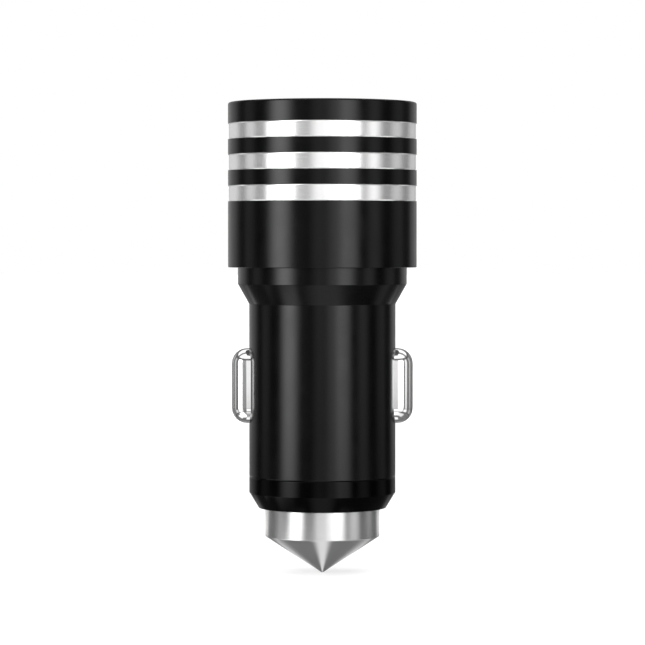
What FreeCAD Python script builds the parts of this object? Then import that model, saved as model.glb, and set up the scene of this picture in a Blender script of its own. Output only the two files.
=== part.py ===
"""A car socket charger plug with two charging ports, sprung side contacts and a pointed steel tip.

The plug stands as it is seen in use from the front: its axis is Z, the ports are at the top and the
tip points down. The origin is on the axis where the straight barrel begins, just below the neck's
taper. X runs through the two side contacts, and Y is the plug's front to back. Lengths are in mm.
"""
import FreeCAD
import Part
import math
import os
from FreeCAD import Vector

# Clearances that every fit takes its size from
press_gap = 0.03
slip_gap = 0.1
slot_gap = 0.15

# Head sleeve, a turned tube with bright bands cut in its outside
head_radius = 12.5
head_length = 21.81
head_edge_chamfer = 0.3
head_wall = 1.6
head_foot_chamfer = 0.1
rim_wall = 1.05
rim_depth = 1.9
rim_chamfer = 0.2
neck_socket_depth = 4.6

# Bright bands of the head sleeve
band_count = 3
band_width = 2.07
band_pitch = 4.1
band_depth = 0.12
band_bevel = 0.12
band_drop = 2.82

# Barrel body, one turned tube with its taper and neck
barrel_radius = 9.71
barrel_length = 22.86
barrel_wall = 1.2
barrel_edge = 0.12
taper_length = 2.64
neck_inset = 1.3
neck_exposed = 2.2
neck_wall = 0.9
seat_above_taper = 0.1

# Side contacts, drawn shoes that spring out through the barrel's slots
contact_stand = 2.29
contact_half_width = 2.1
contact_length = 9.95
contact_crown_half_width = 0.1
contact_drop = 10.86
contact_travel = 1.5
flange_lip = 0.7
flange_thickness = 0.6
pocket_half_width = 1.45
pocket_end_wall = 0.65
pocket_roof = 3.96

# Leaf springs behind the contacts
leaf_thickness = 0.3
leaf_width = 2.2
leaf_crown_share = 0.67
leaf_foot = 0.5

# Inner carrier that holds the board and the springs
carrier_wall = 1.0
carrier_flange = 1.0
carrier_top_drop = 0.2
spring_seat_room = 0.25
spring_seat_wall = 0.75
seat_end_margin = 0.35
rib_thickness = 0.8
rib_reach = 1.3

# Nose collar, the insulating ring between the barrel and the tip
collar_cylinder = 2.15
collar_chamfer_height = 2.02
collar_chamfer_width = 1.24
collar_spigot = 3.26
collar_wall = 1.52
collar_floor = 1.26

# Hammer tip
tip_inset = 0.86
tip_cylinder = 3.78
tip_half_angle = 56.7
tip_edge_chamfer = 0.12
tip_point_radius = 0.12
tip_spigot_radius = 5.0
tip_spigot_length = 1.2
stud_radius = 2.0

# Washer and nut on the tip's stud
washer_radius = 4.3
washer_thickness = 0.8
nut_sides = 6
nut_flats = 7.0
nut_height = 3.2
nut_chamfer = 0.35
stud_end_above_nut = 0.6

# Positive tab between the stud and the board
tab_thickness = 0.4
tab_half_width = 1.5
tab_ring_radius = 3.9
tab_leg_gap = 0.7
tab_stud_gap = 0.3
tab_lap = 3.6

# Circuit board
board_thickness = 1.6
board_side_gap = 0.25
board_tail_gap = 0.2
board_tail_end_gap = 1.0
board_lamp_gap = 0.27
board_shoulder_drop = 4.75
board_top_gap = 0.3

# Port face, the moulded cap in the head's rim
face_recess = 0.35
face_edge_chamfer = 0.3
skirt_length = 5.0
skirt_wall = 1.0
port_mouth_bevel = 0.3

# Port shells and what is inside them
port_width = 12.5
port_height = 5.12
port_sheet = 0.3
port_corner = 0.75
shell_length = 13.6
shell_recess = 0.3
latch_width = 1.9
latch_slit = 0.35
latch_length = 4.8
latch_spread = 6.2
latch_drop = 2.4
latch_dip = 0.38
tongue_width = 11.1
tongue_thickness = 1.84
tongue_back_gap = 0.72
tongue_recess = 1.2
tongue_bevel = 0.45
tongue_base = 2.6
insulator_gap = 0.05

# Contact strips on the tongues
strip_width = 1.0
strip_thickness = 0.25
strip_sink = 0.1
strip_bow = 0.3
strip_bow_length = 2.4
strip_inset = 0.7
strip_data_inset = 1.0
strip_data_x = 1.0
strip_power_x = 3.5
strip_foot_drop = 1.0

# Indicator lamp and its light pipe
lamp_radius = 1.2
lamp_height = 2.5
lamp_flange_radius = 1.35
lamp_flange_height = 0.6
pipe_radius = 1.0
pipe_flange_radius = 1.35
pipe_flange_height = 0.75
pipe_gap = 0.3

# Choke
choke_radius = 3.5
choke_height = 4.6
choke_flange = 0.9
choke_core_radius = 1.6
choke_turns = 7
choke_winding_inset = 0.45

# Capacitors
input_can_radius = 3.15
input_can_length = 6.4
output_can_radius = 2.5
output_can_length = 7.0
output_can_drop = 2.2
can_crimp_drop = 1.2
can_crimp_depth = 0.3
can_edge_chamfer = 0.3
can_lead_radius = 0.25
can_lead_drop = 0.7
can_board_gap = 0.05

# Controller chip
chip_width = 3.9
chip_length = 4.9
chip_height = 1.5
chip_draft = 0.2
chip_lead_rows = 4
chip_lead_pitch = 1.27
chip_lead_width = 0.42
chip_lead_thickness = 0.2
chip_lead_reach = 1.0
chip_drop = 6.0

# Small chip components, in pairs on both faces of the board's tail
small_width = 1.25
small_length = 2.0
small_height = 0.6
small_pitch = 2.8
small_pairs = 2
small_spread = 3.2
small_end_margin = 0.4
small_chip_gap = 1.2

# Radii of the main turned faces
head_bore = head_radius - head_wall
rim_bore = head_radius - rim_wall
neck_radius = head_radius - neck_inset
barrel_bore = barrel_radius - barrel_wall
contact_reach = barrel_radius + contact_stand
contact_round = contact_half_width - contact_crown_half_width
collar_foot_radius = barrel_radius - collar_chamfer_width
collar_cavity = barrel_bore - press_gap - collar_wall
tip_radius = collar_foot_radius - tip_inset
nut_corner = nut_flats / 2 / math.cos(math.pi / nut_sides)

# Heights of the main seats
head_bottom = taper_length + neck_exposed
head_top = head_bottom + head_length
neck_top = head_bottom + neck_socket_depth
carrier_seat = taper_length + seat_above_taper
carrier_flange_top = carrier_seat + carrier_flange
carrier_top = neck_top - carrier_top_drop
barrel_end = -barrel_length
collar_foot = barrel_end - collar_cylinder - collar_chamfer_height
collar_top = barrel_end + collar_spigot
collar_floor_top = collar_foot + tip_spigot_length + collar_floor
tip_shoulder = collar_foot - tip_cylinder
tip_cone_height = (tip_radius - tip_point_radius) / math.tan(math.radians(tip_half_angle))
washer_top = collar_floor_top + washer_thickness
nut_bottom = washer_top + tab_thickness
nut_top = nut_bottom + nut_height
stud_end = nut_top + stud_end_above_nut
face_top = head_top - face_recess
face_seat = head_top - rim_depth
skirt_radius = head_bore - press_gap
skirt_end = face_seat - skirt_length
board_top = face_seat - board_top_gap
board_shoulder = face_seat - board_shoulder_drop
board_tail_end = stud_end + board_tail_end_gap
board_face = board_thickness / 2

# Places that more than one piece shares
carrier_radius = barrel_bore - slip_gap
carrier_bore = carrier_radius - carrier_wall
neck_bore = neck_radius - neck_wall
carrier_head_radius = neck_bore - slip_gap
carrier_head_bore = carrier_head_radius - carrier_wall
board_half_width = carrier_head_bore - board_side_gap
flange_half_width = contact_half_width + flange_lip
flange_length = contact_length + 2 * flange_lip
flange_front = math.sqrt(barrel_bore ** 2 - flange_half_width ** 2) - slip_gap
flange_back = flange_front - flange_thickness
spring_seat_x = flange_back - contact_travel - leaf_thickness - spring_seat_room
board_tail_half_width = spring_seat_x - spring_seat_wall - board_tail_gap
pocket_floor = contact_reach - pocket_roof
shell_width = port_width + 2 * port_sheet
shell_height = port_height + 2 * port_sheet
shell_top = face_top - shell_recess
shell_bottom = shell_top - shell_length
port_y = board_face + shell_height / 2
tongue_face = port_y + port_height / 2 - tongue_back_gap - tongue_thickness
tongue_top = shell_top - tongue_recess
lamp_x = skirt_radius - skirt_wall - slip_gap - pipe_flange_radius
board_head_half_width = lamp_x - lamp_flange_radius - board_lamp_gap


def block(x0, x1, y0, y1, z0, z1):
    """A box between two corners."""
    return Part.makeBox(x1 - x0, y1 - y0, z1 - z0, Vector(x0, y0, z0))


def rod(radius, z0, z1, x=0.0, y=0.0):
    """A round bar along Z."""
    return Part.makeCylinder(radius, z1 - z0, Vector(x, y, z0))


def closed_wire(path, place):
    """A closed wire through path; a pair is a straight run, four numbers an arc by its middle."""
    edges = []
    start = place(*path[0][-2:])
    for step in path[1:] + path[:1]:
        end = place(*step[-2:])
        if len(step) == 4:
            edges.append(Part.Arc(start, place(*step[:2]), end).toShape())
        else:
            edges.append(Part.makeLine(start, end))
        start = end
    return Part.Wire(edges)


def turned(path):
    """A solid turned about Z from a half section of (radius, z) steps."""
    section = Part.Face(closed_wire(path, lambda r, z: Vector(r, 0, z)))
    return section.revolve(Vector(0, 0, 0), Vector(0, 0, 1), 360)


def along_x(path, x0, x1):
    """A solid of constant section in YZ between two X planes."""
    section = Part.Face(closed_wire(path, lambda y, z: Vector(x0, y, z)))
    return section.extrude(Vector(x1 - x0, 0, 0))


def along_y(path, y0, y1):
    """A solid of constant section in XZ between two Y planes."""
    section = Part.Face(closed_wire(path, lambda x, z: Vector(x, y0, z)))
    return section.extrude(Vector(0, y1 - y0, 0))


def rounded_bar(width, height, corner, z0, z1):
    """A bar along Z with a round-cornered section, centred on the port's axis."""
    bar = block(-width / 2, width / 2, port_y - height / 2, port_y + height / 2, z0, z1)
    upright = [e for e in bar.Edges if abs(e.Vertexes[0].Z - e.Vertexes[1].Z) > (z1 - z0) / 2]
    return bar.makeFillet(corner, upright)


def pill(half_width, length, x0, x1):
    """A bar along X with a pill-shaped section, centred on the side contact."""
    straight = length / 2 - half_width
    low = -contact_drop - straight
    high = -contact_drop + straight
    path = [
        (-half_width, low),
        (0, low - half_width, half_width, low),
        (half_width, high),
        (0, high + half_width, -half_width, high),
    ]
    return along_x(path, x0, x1)


def half_turn(shape):
    """The same piece on the other side of the plug's axis."""
    other = shape.copy()
    other.rotate(Vector(0, 0, 0), Vector(0, 0, 1), 180)
    return other


def fused(first, *others):
    """One clean solid of pieces that meet."""
    return first.multiFuse(list(others)).removeSplitter()


def band_path(top):
    """The steps down the outside of the head over one bright band that starts at height top."""
    floor = head_radius - band_depth
    return [
        (head_radius, top),
        (floor, top - band_bevel),
        (floor, top - band_width + band_bevel),
        (head_radius, top - band_width),
    ]


def head_sleeve():
    """The sleeve over the neck: bands outside, a rim for the port face and a socket for the neck."""
    path = [(head_radius - head_edge_chamfer, head_top)]
    path.append((head_radius, head_top - head_edge_chamfer))
    for index in range(band_count):
        path += band_path(head_top - band_drop - index * band_pitch)
    path.append((head_radius, head_bottom + head_foot_chamfer))
    path.append((head_radius - head_foot_chamfer, head_bottom))
    path.append((neck_radius + press_gap, head_bottom))
    path.append((neck_radius + press_gap, neck_top))
    path.append((head_bore, neck_top))
    path.append((head_bore, face_seat))
    path.append((rim_bore, face_seat))
    path.append((rim_bore, head_top - rim_chamfer))
    path.append((rim_bore + rim_chamfer, head_top))
    return turned(path)


def barrel_body():
    """The turned tube: neck, taper and barrel in one, with a slot for each side contact."""
    tube = turned([
        (barrel_bore, barrel_end),
        (barrel_radius - barrel_edge, barrel_end),
        (barrel_radius, barrel_end + barrel_edge),
        (barrel_radius, 0),
        (neck_radius, taper_length),
        (neck_radius, neck_top),
        (neck_bore, neck_top),
        (neck_bore, carrier_seat),
        (barrel_bore, carrier_seat),
    ])
    slot = pill(
        contact_half_width + slot_gap,
        contact_length + 2 * slot_gap,
        flange_front,
        barrel_radius + contact_round,
    )
    return tube.cut(slot).cut(half_turn(slot))


def nose_collar():
    """The insulating collar: a spigot in the barrel, a chamfered nose and a floor for the tip."""
    spigot_radius = barrel_bore - press_gap
    return turned([
        (stud_radius + slip_gap, collar_floor_top),
        (stud_radius + slip_gap, collar_foot + tip_spigot_length),
        (tip_spigot_radius + press_gap, collar_foot + tip_spigot_length),
        (tip_spigot_radius + press_gap, collar_foot),
        (collar_foot_radius, collar_foot),
        (barrel_radius, collar_foot + collar_chamfer_height),
        (barrel_radius, barrel_end - barrel_edge),
        (barrel_radius - barrel_edge, barrel_end),
        (spigot_radius, barrel_end),
        (spigot_radius, collar_top),
        (collar_cavity, collar_top),
        (collar_cavity, collar_floor_top),
    ])


def hammer_tip():
    """The turned tip: a cone under a short cylinder, a spigot in the collar and a threaded stud."""
    half_angle = math.radians(tip_half_angle)
    cone_r = tip_radius - tip_edge_chamfer * math.sin(half_angle)
    cone_z = tip_shoulder - tip_edge_chamfer * math.cos(half_angle)
    return turned([
        (0, stud_end),
        (stud_radius, stud_end),
        (stud_radius, collar_foot + tip_spigot_length),
        (tip_spigot_radius, collar_foot + tip_spigot_length),
        (tip_spigot_radius, collar_foot),
        (tip_radius, collar_foot),
        (tip_radius, tip_shoulder + tip_edge_chamfer),
        (cone_r, cone_z),
        (tip_point_radius, tip_shoulder - tip_cone_height),
        (0, tip_shoulder - tip_cone_height),
    ])


def tip_washer():
    """The flat washer that the stud's nut pulls against."""
    disc = rod(washer_radius, collar_floor_top, washer_top)
    return disc.cut(rod(stud_radius + slip_gap, collar_floor_top, washer_top))


def tip_nut():
    """The hexagon nut that holds the tip in the collar, chamfered on both sides."""
    points = []
    for index in range(nut_sides + 1):
        angle = 2 * math.pi * index / nut_sides
        points.append(Vector(nut_corner * math.cos(angle), nut_corner * math.sin(angle), nut_bottom))
    hexagon = Part.Face(Part.makePolygon(points)).extrude(Vector(0, 0, nut_height))
    envelope = turned([
        (0, nut_bottom),
        (nut_flats / 2, nut_bottom),
        (nut_corner, nut_bottom + nut_chamfer),
        (nut_corner, nut_top - nut_chamfer),
        (nut_flats / 2, nut_top),
        (0, nut_top),
    ])
    return hexagon.common(envelope).cut(rod(stud_radius + press_gap, nut_bottom, nut_top))


def positive_tab():
    """The bent strip from the stud up to the board: a ring, a leg beside the nut and a lap."""
    leg_in = nut_corner + tab_leg_gap
    leg_out = leg_in + tab_thickness
    lap_out = board_face + tab_thickness
    knee = stud_end + tab_stud_gap
    strip = along_x(
        [
            (0, washer_top),
            (leg_out, washer_top),
            (leg_out, knee + tab_thickness),
            (lap_out, knee + tab_thickness),
            (lap_out, board_tail_end + tab_lap),
            (board_face, board_tail_end + tab_lap),
            (board_face, knee),
            (leg_in, knee),
            (leg_in, nut_bottom),
            (0, nut_bottom),
        ],
        -tab_half_width,
        tab_half_width,
    )
    ring = rod(tab_ring_radius, washer_top, nut_bottom)
    hole = rod(stud_radius + slip_gap, washer_top, nut_bottom)
    return fused(strip, ring).cut(hole)


def side_contact():
    """The right-hand contact: a rounded pill with a flange inside the barrel and a spring pocket."""
    shoe = pill(contact_half_width, contact_length, flange_back, contact_reach)
    crown = [e for e in shoe.Edges if min(v.X for v in e.Vertexes) > contact_reach - slip_gap]
    shoe = shoe.makeFillet(contact_round, crown)
    flange = pill(flange_half_width, flange_length, flange_back, flange_front)
    pocket_length = contact_length - 2 * pocket_end_wall
    pocket = pill(pocket_half_width, pocket_length, flange_back, pocket_floor)
    return fused(shoe, flange).cut(pocket)


def leaf_spring():
    """The bowed leaf behind the right-hand contact: flat feet on the carrier, crown in the pocket."""
    base = spring_seat_x + leaf_thickness / 2
    rise = pocket_floor - slip_gap - leaf_thickness / 2 - base
    reach = contact_length / 2 - pocket_end_wall - slip_gap - leaf_foot
    angle = 2 * math.atan2(rise, reach)
    both_radii = reach / math.sin(angle)
    crown_radius = leaf_crown_share * both_radii
    foot_radius = both_radii - crown_radius
    outer = []
    inner = []
    for side, sign in ((outer, 1), (inner, -1)):
        offset = sign * leaf_thickness / 2
        crown = crown_radius + offset
        foot = foot_radius - offset
        join_x = base + rise - crown_radius + crown * math.cos(angle)
        join_z = crown * math.sin(angle)
        mid_crown_x = base + rise - crown_radius + crown * math.cos(angle / 2)
        mid_crown_z = crown * math.sin(angle / 2)
        mid_foot_x = base + foot_radius - foot * math.cos(angle / 2)
        mid_foot_z = reach - foot * math.sin(angle / 2)
        side.append((base + offset, -reach - leaf_foot))
        side.append((base + offset, -reach))
        side.append((mid_foot_x, -mid_foot_z, join_x, -join_z))
        side.append((mid_crown_x, -mid_crown_z, base + rise + offset, 0))
        side.append((mid_crown_x, mid_crown_z, join_x, join_z))
        side.append((mid_foot_x, mid_foot_z, base + offset, reach))
        side.append((base + offset, reach + leaf_foot))
    strip = leaf_section(outer, inner)
    strip.translate(Vector(0, 0, -contact_drop))
    return strip


def leaf_section(outer, inner):
    """The leaf between its outer line and its inner line, which is walked back."""
    back = []
    for index in range(len(inner) - 1, 0, -1):
        step = inner[index]
        end = inner[index - 1][-2:]
        back.append(step[:2] + end if len(step) == 4 else end)
    return along_y(outer + [inner[-1][-2:]] + back, -leaf_width / 2, leaf_width / 2)


def inner_carrier():
    """The moulded carrier: a tube in the barrel, a flanged cup in the neck, spring seats and ribs."""
    tube = turned([
        (carrier_bore, collar_top),
        (carrier_radius, collar_top),
        (carrier_radius, carrier_seat),
        (carrier_head_radius, carrier_seat),
        (carrier_head_radius, carrier_top),
        (carrier_head_bore, carrier_top),
        (carrier_head_bore, carrier_flange_top),
        (carrier_bore, carrier_flange_top),
    ])
    window_half = flange_half_width + slot_gap
    window_length = flange_length + 2 * slot_gap
    window = pill(window_half, window_length, spring_seat_x, barrel_radius)
    seat_half = window_length / 2 + seat_end_margin
    seat_inner = spring_seat_x - spring_seat_wall
    seat = block(
        seat_inner,
        spring_seat_x,
        -carrier_bore,
        carrier_bore,
        -contact_drop - seat_half,
        -contact_drop + seat_half,
    )
    seat = seat.common(rod(carrier_bore + carrier_wall / 2, -barrel_length, 0))
    rib_start = board_face + slip_gap
    rib = block(
        carrier_head_bore - rib_reach,
        carrier_head_bore + carrier_wall / 2,
        rib_start,
        rib_start + rib_thickness,
        carrier_flange_top,
        carrier_top,
    )
    far_rib = rib.mirror(Vector(0, 0, 0), Vector(0, 1, 0))
    carrier = tube.cut(window).cut(half_turn(window))
    added = [seat, half_turn(seat), rib, far_rib, half_turn(rib), half_turn(far_rib)]
    return fused(carrier, *added)


def circuit_board():
    """The board: a narrow tail in the barrel, a wide middle on the carrier and a head in the face."""
    half = [
        (board_tail_half_width, board_tail_end),
        (board_tail_half_width, carrier_flange_top),
        (board_half_width, carrier_flange_top),
        (board_half_width, board_shoulder),
        (board_head_half_width, board_shoulder),
        (board_head_half_width, board_top),
    ]
    path = half + [(-x, z) for x, z in reversed(half)]
    return along_y(path, -board_face, board_face)


def port_face():
    """The moulded cap in the rim: a disc with two port mouths and a lamp hole, over a skirt."""
    disc_radius = rim_bore - press_gap
    cap = turned([
        (0, face_seat),
        (skirt_radius - skirt_wall, face_seat),
        (skirt_radius - skirt_wall, skirt_end),
        (skirt_radius, skirt_end),
        (skirt_radius, face_seat),
        (disc_radius, face_seat),
        (disc_radius, face_top - face_edge_chamfer),
        (disc_radius - face_edge_chamfer, face_top),
        (0, face_top),
    ])
    mouth_width = shell_width + 2 * press_gap
    mouth_height = shell_height + 2 * press_gap
    mouth_corner = port_corner + port_sheet + press_gap
    mouth = rounded_bar(mouth_width, mouth_height, mouth_corner, skirt_end, face_top + port_mouth_bevel)
    for opening in (mouth, half_turn(mouth)):
        cap = cap.cut(opening)
    top_edges = [e for e in cap.Edges if on_port_mouth(e)]
    cap = cap.makeChamfer(port_mouth_bevel, top_edges)
    return cap.cut(rod(pipe_radius + press_gap, face_seat, face_top, lamp_x))


def on_port_mouth(edge):
    """Whether an edge of the port face is the rim of a port's mouth in the top plane."""
    box = edge.BoundBox
    in_top = box.ZMin > face_top - press_gap
    near = math.hypot(max(abs(box.XMin), abs(box.XMax)), max(abs(box.YMin), abs(box.YMax)))
    return in_top and near < skirt_radius - skirt_wall


def latch_cut(x, wall, inward):
    """The slit round one latch of a port shell, and the latch bent into the port."""
    top = shell_top - latch_drop
    bottom = top - latch_length
    reach = latch_width / 2 + latch_slit
    slit = block(
        x - reach,
        x + reach,
        min(wall, wall + inward * port_sheet),
        max(wall, wall + inward * port_sheet),
        bottom,
        top + latch_slit,
    )
    latch = block(
        x - latch_width / 2,
        x + latch_width / 2,
        min(wall, wall + inward * port_sheet),
        max(wall, wall + inward * port_sheet),
        bottom - port_sheet,
        top,
    )
    lean = math.degrees(math.asin(latch_dip / latch_length))
    latch.rotate(Vector(x, wall, bottom), Vector(1, 0, 0), -inward * lean)
    return slit, latch


def port_shell():
    """The folded sheet shell of the front port, with two latches in each wide wall."""
    outer = rounded_bar(shell_width, shell_height, port_corner + port_sheet, shell_bottom, shell_top)
    inner = rounded_bar(port_width, port_height, port_corner, shell_bottom, shell_top)
    shell = outer.cut(inner)
    for wall, inward in ((port_y - shell_height / 2, 1), (port_y + shell_height / 2, -1)):
        for x in (-latch_spread / 2, latch_spread / 2):
            slit, latch = latch_cut(x, wall, inward)
            shell = fused(shell.cut(slit), latch)
    return shell.common(outer)


def strip_path(top):
    """The side view of one contact strip: a foot on the board, a riser, a bow and a front end."""
    back = tongue_face + strip_sink
    front = back - strip_thickness
    foot = shell_bottom - strip_foot_drop
    bow_top = top - strip_inset
    bow_mid = bow_top - strip_bow_length / 2
    bow_low = bow_top - strip_bow_length
    return [
        (board_face, foot),
        (back, foot),
        (back, top),
        (front, top),
        (front, bow_top),
        (front - strip_bow, bow_mid, front, bow_low),
        (front, foot + strip_thickness),
        (board_face, foot + strip_thickness),
    ]


def port_strips():
    """The contact strips of the front port, the outer pair longer than the inner pair."""
    strips = []
    for x, inset in ((strip_power_x, 0), (strip_data_x, strip_data_inset)):
        top = tongue_top - strip_inset - inset
        for side in (-x, x):
            strips.append(along_x(strip_path(top), side - strip_width / 2, side + strip_width / 2))
    return Part.makeCompound(strips)


def port_tongue():
    """The insulator of the front port: a base across the shell and the tongue above it."""
    base = rounded_bar(
        port_width - 2 * insulator_gap,
        port_height - 2 * insulator_gap,
        port_corner,
        shell_bottom,
        shell_bottom + tongue_base,
    )
    back = tongue_face + tongue_thickness
    blade = along_x(
        [
            (tongue_face, shell_bottom),
            (back, shell_bottom),
            (back, tongue_top - tongue_bevel),
            (back - tongue_bevel, tongue_top),
            (tongue_face + tongue_bevel, tongue_top),
            (tongue_face, tongue_top - tongue_bevel),
        ],
        -tongue_width / 2,
        tongue_width / 2,
    )
    insulator = fused(base, blade)
    for strip in port_strips().Solids:
        insulator = insulator.cut(strip)
    return insulator


def light_pipe():
    """The clear pipe that carries the lamp's light to the face, with a flange under the face."""
    pipe = rod(pipe_radius, board_shoulder + lamp_height + pipe_gap, face_top, lamp_x)
    flange = rod(pipe_flange_radius, face_seat - pipe_flange_height, face_seat, lamp_x)
    return fused(pipe, flange)


def indicator_lamp():
    """The domed lamp on the board's shoulder."""
    dome = lamp_radius * math.sqrt(0.5)
    top = board_shoulder + lamp_height
    lamp = turned([
        (0, board_shoulder),
        (lamp_flange_radius, board_shoulder),
        (lamp_flange_radius, board_shoulder + lamp_flange_height),
        (lamp_radius, board_shoulder + lamp_flange_height),
        (lamp_radius, top - lamp_radius),
        (dome, top - lamp_radius + dome, 0, top),
    ])
    lamp.translate(Vector(lamp_x, 0, 0))
    return lamp


def on_board_front(shape, z):
    """A piece turned about Z and standing on z = 0, laid so that it stands on the board's front."""
    shape.rotate(Vector(0, 0, 0), Vector(1, 0, 0), 90)
    shape.translate(Vector(0, -board_face, z))
    return shape


def choke_height_on_board():
    """The height of the choke's axis, just above the carrier's flange."""
    return carrier_flange_top + choke_radius + slip_gap


def choke_core():
    """The ferrite bobbin of the choke, with a flange at each end."""
    core = turned([
        (0, 0),
        (choke_radius, 0),
        (choke_radius, choke_flange),
        (choke_core_radius, choke_flange),
        (choke_core_radius, choke_height - choke_flange),
        (choke_radius, choke_height - choke_flange),
        (choke_radius, choke_height),
        (0, choke_height),
    ])
    return on_board_front(core, choke_height_on_board())


def choke_winding():
    """The copper winding of the choke, one ridge for each turn of its outer layer."""
    low = choke_flange
    step = (choke_height - 2 * choke_flange) / choke_turns
    radius = choke_radius - choke_winding_inset - step / 2
    path = [(choke_core_radius, low)]
    for index in range(choke_turns):
        z = low + index * step
        path.append((radius, z))
        path.append((radius + step / 2, z + step / 2))
    path.append((radius, choke_height - choke_flange))
    path.append((choke_core_radius, choke_height - choke_flange))
    return on_board_front(turned(path), choke_height_on_board())


def capacitor(radius, length):
    """A can along Z with a crimp near its base and two leads that bend back to the board."""
    crimp = radius - can_crimp_depth
    can = turned([
        (0, 0),
        (radius, 0),
        (radius, can_crimp_drop - can_crimp_depth),
        (crimp, can_crimp_drop),
        (radius, can_crimp_drop + can_crimp_depth),
        (radius, length - can_edge_chamfer),
        (radius - can_edge_chamfer, length),
        (0, length),
    ])
    leads = []
    for x in (-radius / 2, radius / 2):
        leads.append(rod(can_lead_radius, -can_lead_drop - can_lead_radius, 0, x))
        foot = Part.makeCylinder(
            can_lead_radius,
            radius + can_board_gap,
            Vector(x, 0, -can_lead_drop),
            Vector(0, -1, 0),
        )
        leads.append(foot)
    return fused(can, *leads)


def input_capacitor():
    """The larger can, behind the board in the neck."""
    can = capacitor(input_can_radius, input_can_length)
    low = carrier_flange_top + can_lead_drop + can_lead_radius + slip_gap
    can.translate(Vector(0, board_face + input_can_radius + can_board_gap, low))
    return can


def output_capacitor():
    """The slimmer can, in front of the board's tail in the barrel."""
    can = half_turn(capacitor(output_can_radius, output_can_length))
    low = -output_can_drop - output_can_length
    can.translate(Vector(0, -board_face - output_can_radius - can_board_gap, low))
    return can


def controller_chip():
    """The controller behind the board's tail: a drafted body and a row of bent leads each side."""
    half_width = chip_width / 2
    half_length = chip_length / 2
    body_low = board_face + chip_lead_thickness
    body_top = body_low + chip_height
    sections = []
    for y, inset in ((body_low, chip_draft), ((body_low + body_top) / 2, 0), (body_top, chip_draft)):
        wide = half_width - inset
        tall = half_length - inset
        corners = [(-wide, -tall), (wide, -tall), (wide, tall), (-wide, tall), (-wide, -tall)]
        sections.append(Part.makePolygon([Vector(x, y, z) for x, z in corners]))
    body = Part.makeLoft(sections, True, True)
    middle = (body_low + body_top) / 2
    side_view = [
        (half_width - chip_draft, middle),
        (half_width + chip_lead_reach / 2, middle),
        (half_width + chip_lead_reach / 2, board_face + chip_lead_thickness),
        (half_width + chip_lead_reach, board_face + chip_lead_thickness),
        (half_width + chip_lead_reach, board_face),
        (half_width + chip_lead_reach / 2 - chip_lead_thickness, board_face),
        (half_width + chip_lead_reach / 2 - chip_lead_thickness, middle - chip_lead_thickness),
        (half_width - chip_draft, middle - chip_lead_thickness),
    ]
    leads = []
    for index in range(chip_lead_rows):
        z = (index - (chip_lead_rows - 1) / 2) * chip_lead_pitch
        for side in (-1, 1):
            path = [(side * x, y) for x, y in side_view]
            outline = closed_wire(path, lambda x, y: Vector(x, y, z - chip_lead_width / 2))
            leads.append(Part.Face(outline).extrude(Vector(0, 0, chip_lead_width)))
    chip = fused(body, *leads)
    chip.translate(Vector(0, 0, -chip_drop))
    return chip


def component_pair(face_in, face_out, low):
    """Two small components side by side between two Y planes, with their lower ends at low."""
    pair = []
    for x in (-small_spread / 2, small_spread / 2):
        left = x - small_width / 2
        pair.append(block(left, left + small_width, face_in, face_out, low, low + small_length))
    return pair


def chip_components():
    """The small components: pairs up from the tail's end in front, and a pair below the chip."""
    pieces = []
    for index in range(small_pairs):
        low = board_tail_end + small_end_margin + index * small_pitch
        pieces += component_pair(-board_face - small_height, -board_face, low)
    low = -chip_drop - chip_length / 2 - small_chip_gap - small_length
    pieces += component_pair(board_face, board_face + small_height, low)
    return Part.makeCompound(pieces)


def save(name, shape):
    """Write one node to its own file."""
    shape.exportStep(os.path.join("parts", name + ".step"))


def main():
    """Build every piece and write it to the parts folder."""
    os.makedirs("parts", exist_ok=True)
    right_contact = side_contact()
    right_spring = leaf_spring()
    rear_shell = port_shell()
    rear_tongue = port_tongue()
    rear_strips = port_strips()
    save("head_sleeve", head_sleeve())
    save("barrel_body", barrel_body())
    save("nose_collar", nose_collar())
    save("hammer_tip", hammer_tip())
    save("tip_washer", tip_washer())
    save("tip_nut", tip_nut())
    save("positive_tab", positive_tab())
    save("right_contact", right_contact)
    save("left_contact", half_turn(right_contact))
    save("right_leaf_spring", right_spring)
    save("left_leaf_spring", half_turn(right_spring))
    save("inner_carrier", inner_carrier())
    save("circuit_board", circuit_board())
    save("port_face", port_face())
    save("rear_port_shell", rear_shell)
    save("front_port_shell", half_turn(rear_shell))
    save("rear_port_tongue", rear_tongue)
    save("front_port_tongue", half_turn(rear_tongue))
    save("rear_port_strips", rear_strips)
    save("front_port_strips", half_turn(rear_strips))
    save("light_pipe", light_pipe())
    save("indicator_lamp", indicator_lamp())
    save("choke_core", choke_core())
    save("choke_winding", choke_winding())
    save("input_capacitor", input_capacitor())
    save("output_capacitor", output_capacitor())
    save("controller_chip", controller_chip())
    save("chip_components", chip_components())


main()
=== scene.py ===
"""The looks of a car socket charger plug: its dressed pieces, finishes, studio and camera.

The plug stands on its tip with its ports up, in the same frame as its solids, in metres: its axis is
Z, the side contacts lie along X and the camera looks along +Y. The turned pieces, the contacts, the
port face and the lamp are swept from half sections by one Geometry Nodes group, at the sizes that the
frame gives. The other inner pieces keep the shape of their solids and get their finishes here.
"""
import math

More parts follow.
